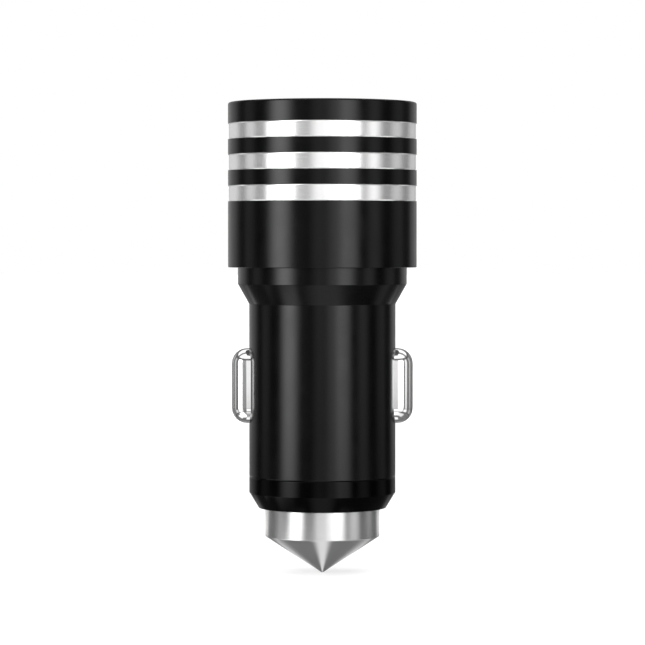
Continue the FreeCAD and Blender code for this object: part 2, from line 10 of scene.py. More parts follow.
import bpy
from bpy.props import FloatProperty, FloatVectorProperty, IntProperty, PointerProperty
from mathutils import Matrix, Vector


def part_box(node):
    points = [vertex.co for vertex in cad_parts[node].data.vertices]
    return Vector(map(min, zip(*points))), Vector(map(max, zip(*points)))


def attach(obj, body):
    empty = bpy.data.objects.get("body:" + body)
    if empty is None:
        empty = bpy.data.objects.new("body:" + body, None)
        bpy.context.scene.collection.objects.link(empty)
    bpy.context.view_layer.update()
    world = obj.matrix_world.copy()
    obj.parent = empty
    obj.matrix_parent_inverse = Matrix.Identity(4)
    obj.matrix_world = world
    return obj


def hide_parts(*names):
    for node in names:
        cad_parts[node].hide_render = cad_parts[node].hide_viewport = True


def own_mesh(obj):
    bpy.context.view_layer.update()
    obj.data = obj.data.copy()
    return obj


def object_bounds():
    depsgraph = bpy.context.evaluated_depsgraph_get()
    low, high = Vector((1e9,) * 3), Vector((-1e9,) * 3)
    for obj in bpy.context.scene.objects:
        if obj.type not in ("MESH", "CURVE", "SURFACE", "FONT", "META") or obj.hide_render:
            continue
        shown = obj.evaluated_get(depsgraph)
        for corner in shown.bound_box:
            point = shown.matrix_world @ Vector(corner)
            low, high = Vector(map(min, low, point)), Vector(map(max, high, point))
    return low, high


bl_info = {
    "name": "Socket Charger Plug",
    "version": (1, 0, 0),
    "blender": (4, 5, 0),
    "location": "3D View > Sidebar > Plug",
    "description": "Builds the pieces, finishes, studio and camera of a car socket charger plug",
    "category": "Object",
}

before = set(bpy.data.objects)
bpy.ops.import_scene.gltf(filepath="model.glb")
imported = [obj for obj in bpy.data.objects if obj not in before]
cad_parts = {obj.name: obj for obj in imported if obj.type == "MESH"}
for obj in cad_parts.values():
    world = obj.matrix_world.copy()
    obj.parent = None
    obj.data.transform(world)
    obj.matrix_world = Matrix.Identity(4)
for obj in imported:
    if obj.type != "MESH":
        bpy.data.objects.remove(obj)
cad_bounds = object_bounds()

HOUSING = "housing"
RIGHT = "right_contact"
LEFT = "left_contact"
FULL_CIRCLE = 2 * math.pi
QUARTERS = 4.0
PREFIX = "plug_"


# Settings

def length(name, description, default):
    """A length setting in metres."""
    return FloatProperty(name=name, description=description, default=default, min=0.0, unit="LENGTH")


def angle(name, description, degrees):
    """An angle setting, given in degrees."""
    return FloatProperty(
        name=name,
        description=description,
        default=math.radians(degrees),
        subtype="ANGLE",
    )


def amount(name, description, default):
    """A setting that is a plain number."""
    return FloatProperty(name=name, description=description, default=default, min=0.0)


def whole(name, description, default):
    """A setting that counts something."""
    return IntProperty(name=name, description=description, default=default, min=1)


def tint(name, description, default):
    """A colour setting."""
    return FloatVectorProperty(
        name=name,
        description=description,
        default=default,
        min=0.0,
        max=1.0,
        subtype="COLOR",
    )


def radii(name, description, start, end):
    """A setting of two radii in metres, between which something changes."""
    return FloatVectorProperty(
        name=name,
        description=description,
        default=(start, end),
        min=0.0,
        size=2,
        unit="LENGTH",
    )


def angles(name, description, start, end):
    """A setting of two angles, given in degrees, between which something changes."""
    return FloatVectorProperty(
        name=name,
        description=description,
        default=(math.radians(start), math.radians(end)),
        size=2,
        unit="ROTATION",
    )


class SurfaceSettings(bpy.types.PropertyGroup):
    """How finely the pieces are divided, and the gaps between them."""

    segments: whole("Segments", "Sides of a turned piece", 256)
    small_segments: whole("Small segments", "Sides of a small piece", 96)
    arc_steps: whole("Arc steps", "Steps of a rounded edge", 6)
    bow_steps: whole("Bow steps", "Steps along the bow of a leaf", 36)
    sharp: angle("Sharp angle", "Angle from which an edge stays sharp", 32.0)
    support: length("Support", "Distance of the line that holds a rounded edge's shading", 0.00002)
    gap: length("Press gap", "Gap between two pressed faces", 0.00003)
    slip_gap: length("Slip gap", "Gap between two faces that part and meet", 0.0001)
    cut_past: length("Cut overshoot", "How far a slot's cutter reaches past the barrel", 0.0036)


class HeadSettings(bpy.types.PropertyGroup):
    """The sleeve over the neck and its bright bands."""

    wall: length("Wall", "Wall of the sleeve", 0.0016)
    rim_wall: length("Rim wall", "Wall of the rim round the port face", 0.00105)
    rim_depth: length("Rim depth", "Depth of the port face's seat", 0.0019)
    socket_depth: length("Socket depth", "Depth of the neck in the sleeve", 0.0046)
    edge_round: length("Edge round", "Radius of the top edge", 0.0003)
    foot_round: length("Foot round", "Radius of the bottom edge", 0.0001)
    band_count: whole("Bands", "Number of bright bands", 3)
    band_width: length("Band width", "Height of one band", 0.00207)
    band_pitch: length("Band pitch", "Height from one band to the next", 0.0041)
    band_drop: length("Band drop", "Distance of the first band from the top", 0.00282)
    band_depth: length("Band depth", "Depth of a band below the black lands", 0.00012)
    band_round: length("Band round", "Radius of a band's edges", 0.00003)


class BarrelSettings(bpy.types.PropertyGroup):
    """The turned tube with the neck, the taper and the contact slots."""

    wall: length("Wall", "Wall of the barrel", 0.0012)
    neck_wall: length("Neck wall", "Wall of the neck", 0.0009)
    taper_length: length("Taper", "Height of the taper below the neck", 0.00264)
    seat_rise: length("Seat rise", "Height of the inner seat above the taper", 0.0001)
    edge_round: length("Edge round", "Radius of the lower edge", 0.00012)
    taper_round: length("Taper round", "Radius of the taper's corners", 0.00016)
    slot_gap: length("Slot gap", "Gap round a side contact", 0.00015)


class ContactSettings(bpy.types.PropertyGroup):
    """The drawn side contacts and the bowed leaves behind them."""

    half_width: length("Half width", "Half the width of a contact", 0.0021)
    height: length("Height", "Height of a contact", 0.00995)
    drop: length("Drop", "Distance of its middle below the barrel's top", 0.01086)
    crown_round: length("Crown round", "Radius between the crown and the sides", 0.0020)
    flange_lip: length("Flange lip", "Width of the flange behind the slot", 0.0007)
    flange_thickness: length("Flange thickness", "Thickness of the flange", 0.0006)
    pocket_half_width: length("Pocket half width", "Half the width of the spring pocket", 0.00145)
    pocket_end_wall: length("Pocket end wall", "Wall at the pocket's ends", 0.00065)
    crown_thickness: length("Crown thickness", "Depth of the pocket's floor below the crown", 0.00396)
    travel: length("Travel", "How far a contact presses in", 0.0015)
    leaf_thickness: length("Leaf thickness", "Thickness of a leaf", 0.0003)
    leaf_foot: length("Leaf foot", "Length of a leaf's flat foot", 0.0005)


class CollarSettings(bpy.types.PropertyGroup):
    """The insulating collar above the tip."""

    cylinder: length("Cylinder", "Height of the straight part", 0.00215)
    foot_inset: length("Foot inset", "Width of the chamfer", 0.00124)
    edge_round: length("Edge round", "Radius of the top edge", 0.00012)
    corner_round: length("Corner round", "Radius of the chamfer's corners", 0.00008)
    wall: length("Spigot wall", "Wall of the spigot", 0.00152)
    floor: length("Floor", "Thickness of the floor", 0.00126)
    stud_gap: length("Stud gap", "Gap round the stud", 0.0001)


class TipSettings(bpy.types.PropertyGroup):
    """The turned steel tip."""

    cylinder: length("Cylinder", "Height of the cylinder above the cone", 0.00378)
    edge_round: length("Edge round", "Radius of the shoulder", 0.00012)
    point_radius: length("Point radius", "Radius of the blunted point", 0.00012)
    spigot_radius: length("Spigot radius", "Radius of the spigot in the collar", 0.005)
    spigot_length: length("Spigot length", "Length of the spigot", 0.0012)
    stud_radius: length("Stud radius", "Radius of the stud", 0.002)


class FaceSettings(bpy.types.PropertyGroup):
    """The port face, its light pipe and its lamp."""

    edge_round: length("Edge round", "Radius of the outer edge", 0.0003)
    skirt_wall: length("Skirt wall", "Wall of the skirt", 0.001)
    mouth_corner: length("Mouth corner", "Corner radius of a port's mouth", 0.00108)
    mouth_gap: length("Mouth gap", "Gap between a shell and its mouth", 0.00003)
    mouth_bevel: length("Mouth bevel", "Width of the bevel round a mouth", 0.0003)
    pipe_radius: length("Pipe radius", "Radius of the light pipe", 0.001)
    pipe_flange_height: length("Pipe flange", "Height of the pipe's flange", 0.00075)
    pipe_round: length("Pipe round", "Radius of the pipe's top edge", 0.00025)
    lamp_flange_height: length("Lamp flange", "Height of the lamp's flange", 0.0006)
    lamp_radius: length("Lamp radius", "Radius of the lamp's dome", 0.0012)


class ColourSettings(bpy.types.PropertyGroup):
    """The colours of the finishes."""

    body: tint("Body", "Anodised sleeve and barrel", (0.0018, 0.0018, 0.0020))
    band: tint("Bands", "Bright bands of the head", (0.87, 0.87, 0.87))
    contact: tint("Contacts", "Plating of the side contacts", (0.86, 0.86, 0.86))
    collar: tint("Collar", "Insulating collar", (0.0004, 0.0004, 0.0004))
    tip: tint("Tip", "Turned steel of the tip", (0.58, 0.58, 0.58))
    face: tint("Port face", "Moulded port face", (0.009, 0.009, 0.0095))
    port: tint("Ports", "Plated sheet of the ports", (0.44, 0.44, 0.45))
    tongue: tint("Tongues", "Insulators in the ports", (0.78, 0.78, 0.77))
    strip: tint("Strips", "Gold-plated strips of the ports", (0.86, 0.64, 0.28))
    pipe: tint("Light pipe", "Clear light pipe", (0.88, 0.93, 0.97))
    lamp: tint("Lamp", "Milky lens of the lamp", (0.76, 0.85, 0.95))
    board: tint("Board", "Solder mask of the board", (0.006, 0.028, 0.013))
    trace: tint("Traces", "Solder mask over the copper", (0.010, 0.045, 0.020))
    carrier: tint("Carrier", "Moulded inner carrier", (0.03, 0.03, 0.03))
    spring: tint("Springs", "Leaf springs", (0.5, 0.5, 0.51))
    fastener: tint("Fasteners", "Washer and nut of the tip", (0.56, 0.56, 0.57))
    tab: tint("Tab", "Brass strip from the stud", (0.75, 0.6, 0.3))
    core: tint("Choke core", "Ferrite of the choke", (0.05, 0.05, 0.055))
    wire: tint("Winding", "Enamelled wire of the choke", (0.72, 0.33, 0.15))
    can: tint("Cans", "Cans of the capacitors", (0.6, 0.6, 0.62))
    chip: tint("Chip", "Case of the controller", (0.025, 0.025, 0.025))
    small_chip: tint("Small chips", "Small parts on the board", (0.3, 0.24, 0.18))


class StageSettings(bpy.types.PropertyGroup):
    """The camera, the floor, and where each pattern of light begins and ends."""

    camera_place: FloatVectorProperty(
        name="Camera place",
        description="Where the camera stands",
        default=(0.00002, -0.383, 0.00885),
        subtype="TRANSLATION",
        unit="LENGTH",
    )
    camera_tilt: angle("Camera tilt", "How far the camera looks down", 1.696)
    camera_lens: amount("Lens", "Focal length in millimetres", 161.2)
    floor_half: length("Floor half width", "Half the width of the floor", 3.0)
    floor_shade: amount("Floor shade", "Grey of the floor", 0.8)
    floor_glow: amount("Floor glow", "Light that the floor gives off", 0.5)
    cards_end: angles("Cards' end", "Elevations between which the cards end", 22.0, 32.0)
    roof_start: angles("Roof's start", "Elevations between which the roof begins", 36.0, 46.0)
    back_end: radii("Back patch's end", "Radii where the patch behind the tip ends", 0.0084, 0.012)
    cap_start: radii("Cap patches' start", "Radii where the patches below the contacts begin", 0.0084, 0.0096)
    cap_end: radii("Cap patches' end", "Radii where those patches end", 0.012, 0.0132)
    low_start: radii("Low cards' start", "Radii where the low cards begin", 0.012, 0.02)
    low_end: radii("Low cards' end", "Radii where the low cards end", 0.0375, 0.045)
    ring_start: radii("Ring patches' start", "Radii where the ring's patches begin", 0.018, 0.02)
    ring_end: radii("Ring patches' end", "Radii where the ring's patches end", 0.031125, 0.0345)
    tip_start: radii("Tip cards' start", "Radii where the tip's cards begin", 0.046, 0.0506)
    far_start: radii("Studio cards' start", "Radii where the studio's cards begin", 0.092, 0.1104)
    far_gain: radii("Studio cards' gain", "Radii between which they reach full strength", 0.092, 0.6)


class PlugSettings(bpy.types.PropertyGroup):
    """All settings of the plug."""

    surface: PointerProperty(type=SurfaceSettings)
    head: PointerProperty(type=HeadSettings)
    barrel: PointerProperty(type=BarrelSettings)
    contact: PointerProperty(type=ContactSettings)
    collar: PointerProperty(type=CollarSettings)
    tip: PointerProperty(type=TipSettings)
    face: PointerProperty(type=FaceSettings)
    colours: PointerProperty(type=ColourSettings)
    stage: PointerProperty(type=StageSettings)


def settings():
    """The settings of the scene."""
    return bpy.context.scene.plug_settings


# Node trees

def add(tree, kind, inputs=None, **options):
    """A new node with its options set, and each named input linked to a socket or given a value."""
    item = tree.nodes.new(kind)
    for key, value in options.items():
        setattr(item, key, value)
    for key, value in (inputs or {}).items():
        socket = item.inputs[key]
        if isinstance(value, bpy.types.NodeSocket):
            tree.links.new(value, socket)
        else:
            socket.default_value = value
    return item


def maths(tree, operation, *values):
    """The result of one Math node."""
    item = add(tree, "ShaderNodeMath", dict(enumerate(values)), operation=operation)
    return item.outputs[0]


def eased(tree, value, start, end, low=0.0, high=1.0):
    """A value that runs smoothly from low to high between start and end, and stays there outside."""
    item = add(
        tree,
        "ShaderNodeMapRange",
        {"Value": value, "From Min": start, "From Max": end, "To Min": low, "To Max": high},
        interpolation_type="SMOOTHSTEP",
    )
    return item.outputs["Result"]


def blended(tree, share, first, second):
    """A value between two others, by the second one's share."""
    item = add(tree, "ShaderNodeMix", {"Factor": share, "A": first, "B": second}, data_type="FLOAT")
    return item.outputs["Result"]


def from_axis(tree, point):
    """The distance of a separated point from the Z axis."""
    square_x = maths(tree, "MULTIPLY", point.outputs["X"], point.outputs["X"])
    square = maths(tree, "MULTIPLY_ADD", point.outputs["Y"], point.outputs["Y"], square_x)
    return maths(tree, "SQRT", square)


def new_group(name, kind, inputs, outputs):
    """A node group with its sockets; returns the tree and its input node."""
    tree = bpy.data.node_groups.new(name, kind)
    for label, socket_type, default in inputs:
        socket = tree.interface.new_socket(name=label, in_out="INPUT", socket_type=socket_type)
        if default is not None:
            socket.default_value = default
    for label, socket_type in outputs:
        tree.interface.new_socket(name=label, in_out="OUTPUT", socket_type=socket_type)
    return tree, tree.nodes.new("NodeGroupInput")


def group_output(tree, results):
    """Links the named results to the group's output."""
    item = tree.nodes.new("NodeGroupOutput")
    for label, socket in results.items():
        tree.links.new(socket, item.inputs[label])


# Geometry Nodes

def sweep_group():
    """The group that sweeps a half section round a core.

    The points of the section hold a radius in X, half the core's length in Y and a height in Z. With
    no core the piece is turned, with a length it is pill-shaped, and with a side too its plan is a
    rounded rectangle.
    """
    known = bpy.data.node_groups.get("profile_sweep")
    if known:
        return known
    tree, given = new_group(
        "profile_sweep",
        "GeometryNodeTree",
        [
            ("Section", "NodeSocketGeometry", None),
            ("Segments", "NodeSocketInt", 256),
            ("Core Half Side", "NodeSocketFloat", 0.0),
            ("Turn", "NodeSocketVector", (0.0, 0.0, 0.0)),
            ("Place", "NodeSocketVector", (0.0, 0.0, 0.0)),
            ("Merge Distance", "NodeSocketFloat", 0.0000004),
            ("Finish", "NodeSocketMaterial", None),
        ],
        [("Piece", "NodeSocketGeometry")],
    )
    size = add(tree, "GeometryNodeAttributeDomainSize", {"Geometry": given.outputs["Section"]})
    rows = size.outputs["Point Count"]
    # Each quarter of the ring has a column more than its segments, so that the core's straight sides
    # lie between the quarters, and one last column closes the ring
    columns = maths(tree, "ADD", given.outputs["Segments"], QUARTERS + 1.0)
    grid = add(tree, "GeometryNodeMeshGrid", {"Vertices X": columns, "Vertices Y": rows})
    index = add(tree, "GeometryNodeInputIndex").outputs[0]
    column = maths(tree, "FLOOR", maths(tree, "DIVIDE", index, rows))
    row = maths(tree, "SUBTRACT", index, maths(tree, "MULTIPLY", column, rows))
    looped = maths(tree, "MODULO", column, maths(tree, "ADD", given.outputs["Segments"], QUARTERS))
    quarter = maths(tree, "DIVIDE", given.outputs["Segments"], QUARTERS)
    per_quarter = maths(tree, "ADD", quarter, 1.0)
    quadrant = maths(tree, "FLOOR", maths(tree, "DIVIDE", looped, per_quarter))
    within = maths(tree, "SUBTRACT", looped, maths(tree, "MULTIPLY", quadrant, per_quarter))
    turns = maths(tree, "ADD", quadrant, maths(tree, "DIVIDE", within, quarter))
    theta = maths(tree, "MULTIPLY", turns, math.pi / 2)
    # The core's half lengths count towards +X in the first and last quarter, and towards +Y in the
    # first two
    middle = maths(tree, "ABSOLUTE", maths(tree, "SUBTRACT", quadrant, 1.5))
    side_x = maths(tree, "MULTIPLY_ADD", maths(tree, "LESS_THAN", middle, 1.0), -2.0, 1.0)
    side_y = maths(tree, "MULTIPLY_ADD", maths(tree, "GREATER_THAN", quadrant, 1.5), -2.0, 1.0)
    position = add(tree, "GeometryNodeInputPosition").outputs[0]
    sample = add(
        tree,
        "GeometryNodeSampleIndex",
        {"Geometry": given.outputs["Section"], "Value": position, "Index": row},
        data_type="FLOAT_VECTOR",
    )
    point = add(tree, "ShaderNodeSeparateXYZ", {"Vector": sample.outputs["Value"]})
    out_x = maths(tree, "MULTIPLY", point.outputs["X"], maths(tree, "COSINE", theta))
    out_y = maths(tree, "MULTIPLY", point.outputs["X"], maths(tree, "SINE", theta))
    x = maths(tree, "MULTIPLY_ADD", side_x, point.outputs["Y"], out_x)
    y = maths(tree, "MULTIPLY_ADD", side_y, given.outputs["Core Half Side"], out_y)
    place = add(tree, "ShaderNodeCombineXYZ", {"X": x, "Y": y, "Z": point.outputs["Z"]})
    moved = add(
        tree,
        "GeometryNodeSetPosition",
        {"Geometry": grid.outputs["Mesh"], "Position": place.outputs[0]},
    )
    merged = add(
        tree,
        "GeometryNodeMergeByDistance",
        {"Geometry": moved.outputs["Geometry"], "Distance": given.outputs["Merge Distance"]},
    )
    turn = add(tree, "FunctionNodeEulerToRotation", {"Euler": given.outputs["Turn"]})
    laid = add(
        tree,
        "GeometryNodeTransform",
        {
            "Geometry": merged.outputs["Geometry"],
            "Translation": given.outputs["Place"],
            "Rotation": turn.outputs["Rotation"],
        },
    )
    real = add(tree, "GeometryNodeRealizeInstances", {"Geometry": laid.outputs["Geometry"]})
    finished = add(
        tree,
        "GeometryNodeSetMaterial",
        {"Geometry": real.outputs["Geometry"], "Material": given.outputs["Finish"]},
    )
    group_output(tree, {"Piece": finished.outputs["Geometry"]})
    return tree


def band_group():
    """The group that gives a repeated row of bands round a turned piece their own finish."""
    tree, given = new_group(
        "band_finish",
        "GeometryNodeTree",
        [
            ("Piece", "NodeSocketGeometry", None),
            ("First Top", "NodeSocketFloat", 0.0),
            ("Pitch", "NodeSocketFloat", 1.0),
            ("Width", "NodeSocketFloat", 1.0),
            ("Count", "NodeSocketInt", 1),
            ("Inner Radius", "NodeSocketFloat", 0.0),
            ("Finish", "NodeSocketMaterial", None),
        ],
        [("Piece", "NodeSocketGeometry")],
    )
    position = add(tree, "GeometryNodeInputPosition").outputs[0]
    point = add(tree, "ShaderNodeSeparateXYZ", {"Vector": position})
    drop = maths(tree, "SUBTRACT", given.outputs["First Top"], point.outputs["Z"])
    pitches = maths(tree, "DIVIDE", drop, given.outputs["Pitch"])
    band = maths(tree, "FLOOR", pitches)
    within = maths(tree, "MULTIPLY", maths(tree, "SUBTRACT", pitches, band), given.outputs["Pitch"])
    chosen = maths(tree, "LESS_THAN", within, given.outputs["Width"])
    limits = (
        maths(tree, "GREATER_THAN", band, -0.5),
        maths(tree, "LESS_THAN", band, maths(tree, "SUBTRACT", given.outputs["Count"], 0.5)),
        maths(tree, "GREATER_THAN", from_axis(tree, point), given.outputs["Inner Radius"]),
    )
    for limit in limits:
        chosen = maths(tree, "MULTIPLY", chosen, limit)
    real = add(tree, "GeometryNodeRealizeInstances", {"Geometry": given.outputs["Piece"]})
    finished = add(
        tree,
        "GeometryNodeSetMaterial",
        {"Geometry": real.outputs["Geometry"], "Selection": chosen, "Material": given.outputs["Finish"]},
    )
    group_output(tree, {"Piece": finished.outputs["Geometry"]})
    return tree


def add_nodes(piece, tree, values):
    """A Geometry Nodes modifier on a piece, with its named inputs set."""
    modifier = piece.modifiers.new(tree.name, "NODES")
    modifier.node_group = tree
    for item in tree.interface.items_tree:
        if item.in_out == "INPUT" and item.name in values:
            modifier[item.identifier] = values[item.name]


def bake(piece):
    """Makes a piece's modifiers final, as one plain mesh."""
    graph = bpy.context.evaluated_depsgraph_get()
    mesh = bpy.data.meshes.new_from_object(piece.evaluated_get(graph), depsgraph=graph)
    piece.modifiers.clear()
    piece.data = mesh
    mesh.name = piece.name


def shade(piece):
    """Smooth shading with its sharp edges kept."""
    piece.data.shade_smooth()
    piece.data.set_sharp_from_angle(angle=settings().surface.sharp)


def new_piece(name, points, faces=()):
    """A new object of plain points and faces."""
    mesh = bpy.data.meshes.new(name)
    mesh.from_pydata(points, [], faces)
    piece = bpy.data.objects.new(name, mesh)
    bpy.context.scene.collection.objects.link(piece)
    return piece


def sweep(name, section, finish, small=False, half_side=0.0, turn=(0.0, 0.0, 0.0), place=(0.0, 0.0, 0.0)):
    """A piece swept from a half section by the sweep group; it isn't baked yet."""
    surface = settings().surface
    piece = new_piece(name, section)
    add_nodes(piece, sweep_group(), {
        "Segments": surface.small_segments if small else surface.segments,
        "Core Half Side": half_side,
        "Turn": turn,
        "Place": place,
        "Finish": finish,
    })
    return piece


def cut(piece, cutters):
    """Cuts closed pieces out of another one and removes them."""
    for cutter in cutters:
        bake(cutter)
        modifier = piece.modifiers.new("Cut", "BOOLEAN")
        modifier.operation = "DIFFERENCE"
        modifier.solver = "EXACT"
        modifier.object = cutter
    bake(piece)
    for cutter in cutters:
        bpy.data.objects.remove(cutter)


def dress(piece, body, slot, *nodes):
    """Shades a finished piece, hangs it on its body and hides the nodes that it stands for. Its slot is not
    used.
    """
    shade(piece)
    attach(piece, body)
    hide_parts(*nodes)


# Half sections

def rounded(corners, core=0.0):
    """Section points from corners of (radius, height[, rounding]), the path's inside on its left."""
    surface = settings().surface
    points = []
    for index, corner in enumerate(corners):
        rounding = corner[2] if len(corner) > 2 else 0.0
        if rounding == 0.0 or index in (0, len(corners) - 1):
            points.append((corner[0], core, corner[1]))
            continue
        points += arc_points(corners[index - 1], corner, corners[index + 1], core, surface)
    return points


def arc_points(before, corner, after, core, surface):
    """The arc that rounds one corner, with a support point on each side of it."""
    x, z, rounding = corner
    back_x, back_z = before[0] - x, before[1] - z
    on_x, on_z = after[0] - x, after[1] - z
    back = math.hypot(back_x, back_z)
    on = math.hypot(on_x, on_z)
    back_x, back_z, on_x, on_z = back_x / back, back_z / back, on_x / on, on_z / on
    half = math.acos(max(-1.0, min(1.0, back_x * on_x + back_z * on_z))) / 2
    tangent = rounding / math.tan(half)
    middle_x, middle_z = back_x + on_x, back_z + on_z
    scale = rounding / math.sin(half) / math.hypot(middle_x, middle_z)
    centre_x, centre_z = x + middle_x * scale, z + middle_z * scale
    start = math.atan2(z + back_z * tangent - centre_z, x + back_x * tangent - centre_x)
    end = math.atan2(z + on_z * tangent - centre_z, x + on_x * tangent - centre_x)
    sweep_angle = (end - start + math.pi) % FULL_CIRCLE - math.pi
    points = []
    if back > tangent + 2 * surface.support:
        reach = tangent + surface.support
        points.append((x + back_x * reach, core, z + back_z * reach))
    for step in range(surface.arc_steps + 1):
        at = start + sweep_angle * step / surface.arc_steps
        points.append((centre_x + rounding * math.cos(at), core, centre_z + rounding * math.sin(at)))
    if on > tangent + 2 * surface.support:
        reach = tangent + surface.support
        points.append((x + on_x * reach, core, z + on_z * reach))
    return points


def closed(points):
    """A ring's section, with its first point again at the end."""
    return points + points[:1]


# Shared surface effects

GRAIN_DETAIL = {"Detail": 3.0, "Roughness": 0.55}
GRAIN_LIMITS = (0.35, 0.65)
BROAD_STEP = 24.0
BROAD_SHARE = 0.6
MARK_DETAIL = {"Scale": 1.0, "Detail": 3.0, "Roughness": 0.6}
MARK_LIMITS = (0.3, 0.7)
MARK_RADIUS_SHARE = 0.7


def effect_group(name, first_input, default):
    """A shader group of one surface effect, with its value between two limits and its height."""
    return new_group(
        name,
        "ShaderNodeTree",
        [
            (first_input, "NodeSocketFloat", default),
            ("Low", "NodeSocketFloat", 0.0),
            ("High", "NodeSocketFloat", 1.0),
        ],
        [("Value", "NodeSocketFloat"), ("Height", "NodeSocketFloat")],
    )


def end_effect(tree, given, shown, limits, height):
    """Ends an effect's group with its value between Low and High and its height."""
    value = eased(tree, shown, *limits, given.outputs["Low"], given.outputs["High"])
    group_output(tree, {"Value": value, "Height": height})
    return tree


def grain_group():
    """Fine surface grain in Object coordinates, with a broad unevenness in its value."""
    known = bpy.data.node_groups.get("surface_grain")
    if known:
        return known
    tree, given = effect_group("surface_grain", "Scale", 1000.0)
    scale = given.outputs["Scale"]
    coordinates = add(tree, "ShaderNodeTexCoord").outputs["Object"]
    fine = add(tree, "ShaderNodeTexNoise", {"Vector": coordinates, "Scale": scale, **GRAIN_DETAIL})
    broad = add(
        tree,
        "ShaderNodeTexNoise",
        {"Vector": coordinates, "Scale": maths(tree, "DIVIDE", scale, BROAD_STEP), "Detail": 2.0},
    )
    both = blended(tree, BROAD_SHARE, fine.outputs[0], broad.outputs[0])
    return end_effect(tree, given, both, GRAIN_LIMITS, fine.outputs[0])


def marks_group():
    """Turning marks round Z in Object coordinates: lines that follow height and radius."""
    known = bpy.data.node_groups.get("turning_marks")
    if known:
        return known
    tree, given = effect_group("turning_marks", "Spacing", 0.0001)
    coordinates = add(tree, "ShaderNodeTexCoord").outputs["Object"]
    point = add(tree, "ShaderNodeSeparateXYZ", {"Vector": coordinates})
    along = maths(tree, "MULTIPLY_ADD", from_axis(tree, point), MARK_RADIUS_SHARE, point.outputs["Z"])
    line = maths(tree, "DIVIDE", along, given.outputs["Spacing"])
    noise = add(tree, "ShaderNodeTexNoise", {"W": line, **MARK_DETAIL}, noise_dimensions="1D")
    return end_effect(tree, given, noise.outputs[0], MARK_LIMITS, noise.outputs[0])


def use_group(tree, group, **inputs):
    """A group node of a shader effect, with its inputs set."""
    item = tree.nodes.new("ShaderNodeGroup")
    item.node_tree = group
    for key, value in inputs.items():
        item.inputs[key].default_value = value
    return item


# Finishes

ACROSS_THE_LINES = 0.25


def new_material(name, **values):
    """A new material with a Principled shader at the given values; returns its tree and its shader."""
    material = bpy.data.materials.new(PREFIX + name)
    material.use_nodes = True
    shader = material.node_tree.nodes["Principled BSDF"]
    for key, value in values.items():
        shader.inputs[key.replace("_", " ")].default_value = value
    return material.node_tree, shader


def link_bump(tree, shader, height, depth):
    """A bump of a real depth on the shader's normal."""
    bump = add(tree, "ShaderNodeBump", {"Height": height, "Distance": depth, "Strength": 1.0})
    tree.links.new(bump.outputs["Normal"], shader.inputs["Normal"])


def grey(level):
    """A plain grey."""
    return (level, level, level, 1.0)


def link_colour(tree, shader, factor, colour, shade):
    """Lets a factor run the shader's colour from its darker shade up to the colour itself."""
    darker = tuple(shade * part for part in colour) + (1.0,)
    shown = add(
        tree,
        "ShaderNodeMix",
        {"Factor": factor, "A": darker, "B": tuple(colour) + (1.0,)},
        data_type="RGBA",
    )
    tree.links.new(shown.outputs["Result"], shader.inputs["Base Color"])


def link_grain(tree, shader, colour, rough, scale, depth, shade):
    """Grain in a shader's colour, roughness and height; returns the grain's node."""
    grain = use_group(tree, grain_group(), Scale=scale, Low=rough[0], High=rough[1])
    tree.links.new(grain.outputs["Value"], shader.inputs["Roughness"])
    link_colour(tree, shader, grain.outputs["Height"], colour, shade)
    link_bump(tree, shader, grain.outputs["Height"], depth)
    return grain


def anodised(name, colour):
    """Satin anodised aluminium with a bead-blasted grain and faint turning marks."""
    tree, shader = new_material(name, Metallic=0.0, IOR=1.5, Specular_IOR_Level=0.19)
    grain = link_grain(tree, shader, colour, (0.17, 0.22), scale=9000.0, depth=0.0000012, shade=0.45)
    # The sum of grain and marks takes the grain's place in the roughness
    marks = use_group(tree, marks_group(), Spacing=0.00016, Low=-0.015, High=0.015)
    rough = maths(tree, "ADD", grain.outputs["Value"], marks.outputs["Value"])
    tree.links.new(rough, shader.inputs["Roughness"])


def turned_metal(name, colour, rough, spacing, depth, anisotropic, metallic=1.0, shade=0.86):
    """Bright turned metal whose fine lines run round Z and stretch the light across them."""
    tree, shader = new_material(name, Metallic=metallic, Anisotropic=anisotropic)
    shader.inputs["Anisotropic Rotation"].default_value = ACROSS_THE_LINES
    tangent = add(tree, "ShaderNodeTangent", direction_type="RADIAL", axis="Z")
    tree.links.new(tangent.outputs[0], shader.inputs["Tangent"])
    marks = use_group(tree, marks_group(), Spacing=spacing, Low=rough[0], High=rough[1])
    tree.links.new(marks.outputs["Value"], shader.inputs["Roughness"])
    link_colour(tree, shader, marks.outputs["Height"], colour, shade)
    link_bump(tree, shader, marks.outputs["Height"], depth)


def plated(name, colour, rough, edge, depth=0.0000003, metallic=1.0):
    """Polished plating with a faint unevenness; edge is what its grazing reflections keep."""
    tree, shader = new_material(name, Metallic=metallic, Specular_Tint=grey(edge))
    link_grain(tree, shader, colour, rough, scale=2500.0, depth=depth, shade=0.9)


def moulded(name, colour, rough, scale=7000.0, depth=0.000004, specular=0.4):
    """Moulded plastic with a sparked grain."""
    tree, shader = new_material(name, Metallic=0.0, IOR=1.5, Specular_IOR_Level=specular)
    link_grain(tree, shader, colour, rough, scale=scale, depth=depth, shade=0.8)


def clear_moulding(name, colour, rough, transmission):
    """Clear or milky moulded plastic."""
    tree, shader = new_material(name, Metallic=0.0, IOR=1.49, Transmission_Weight=transmission)
    grain = use_group(tree, grain_group(), Scale=3000.0, Low=rough[0], High=rough[1])
    tree.links.new(grain.outputs["Value"], shader.inputs["Roughness"])
    link_colour(tree, shader, grain.outputs["Value"], colour, shade=0.92)


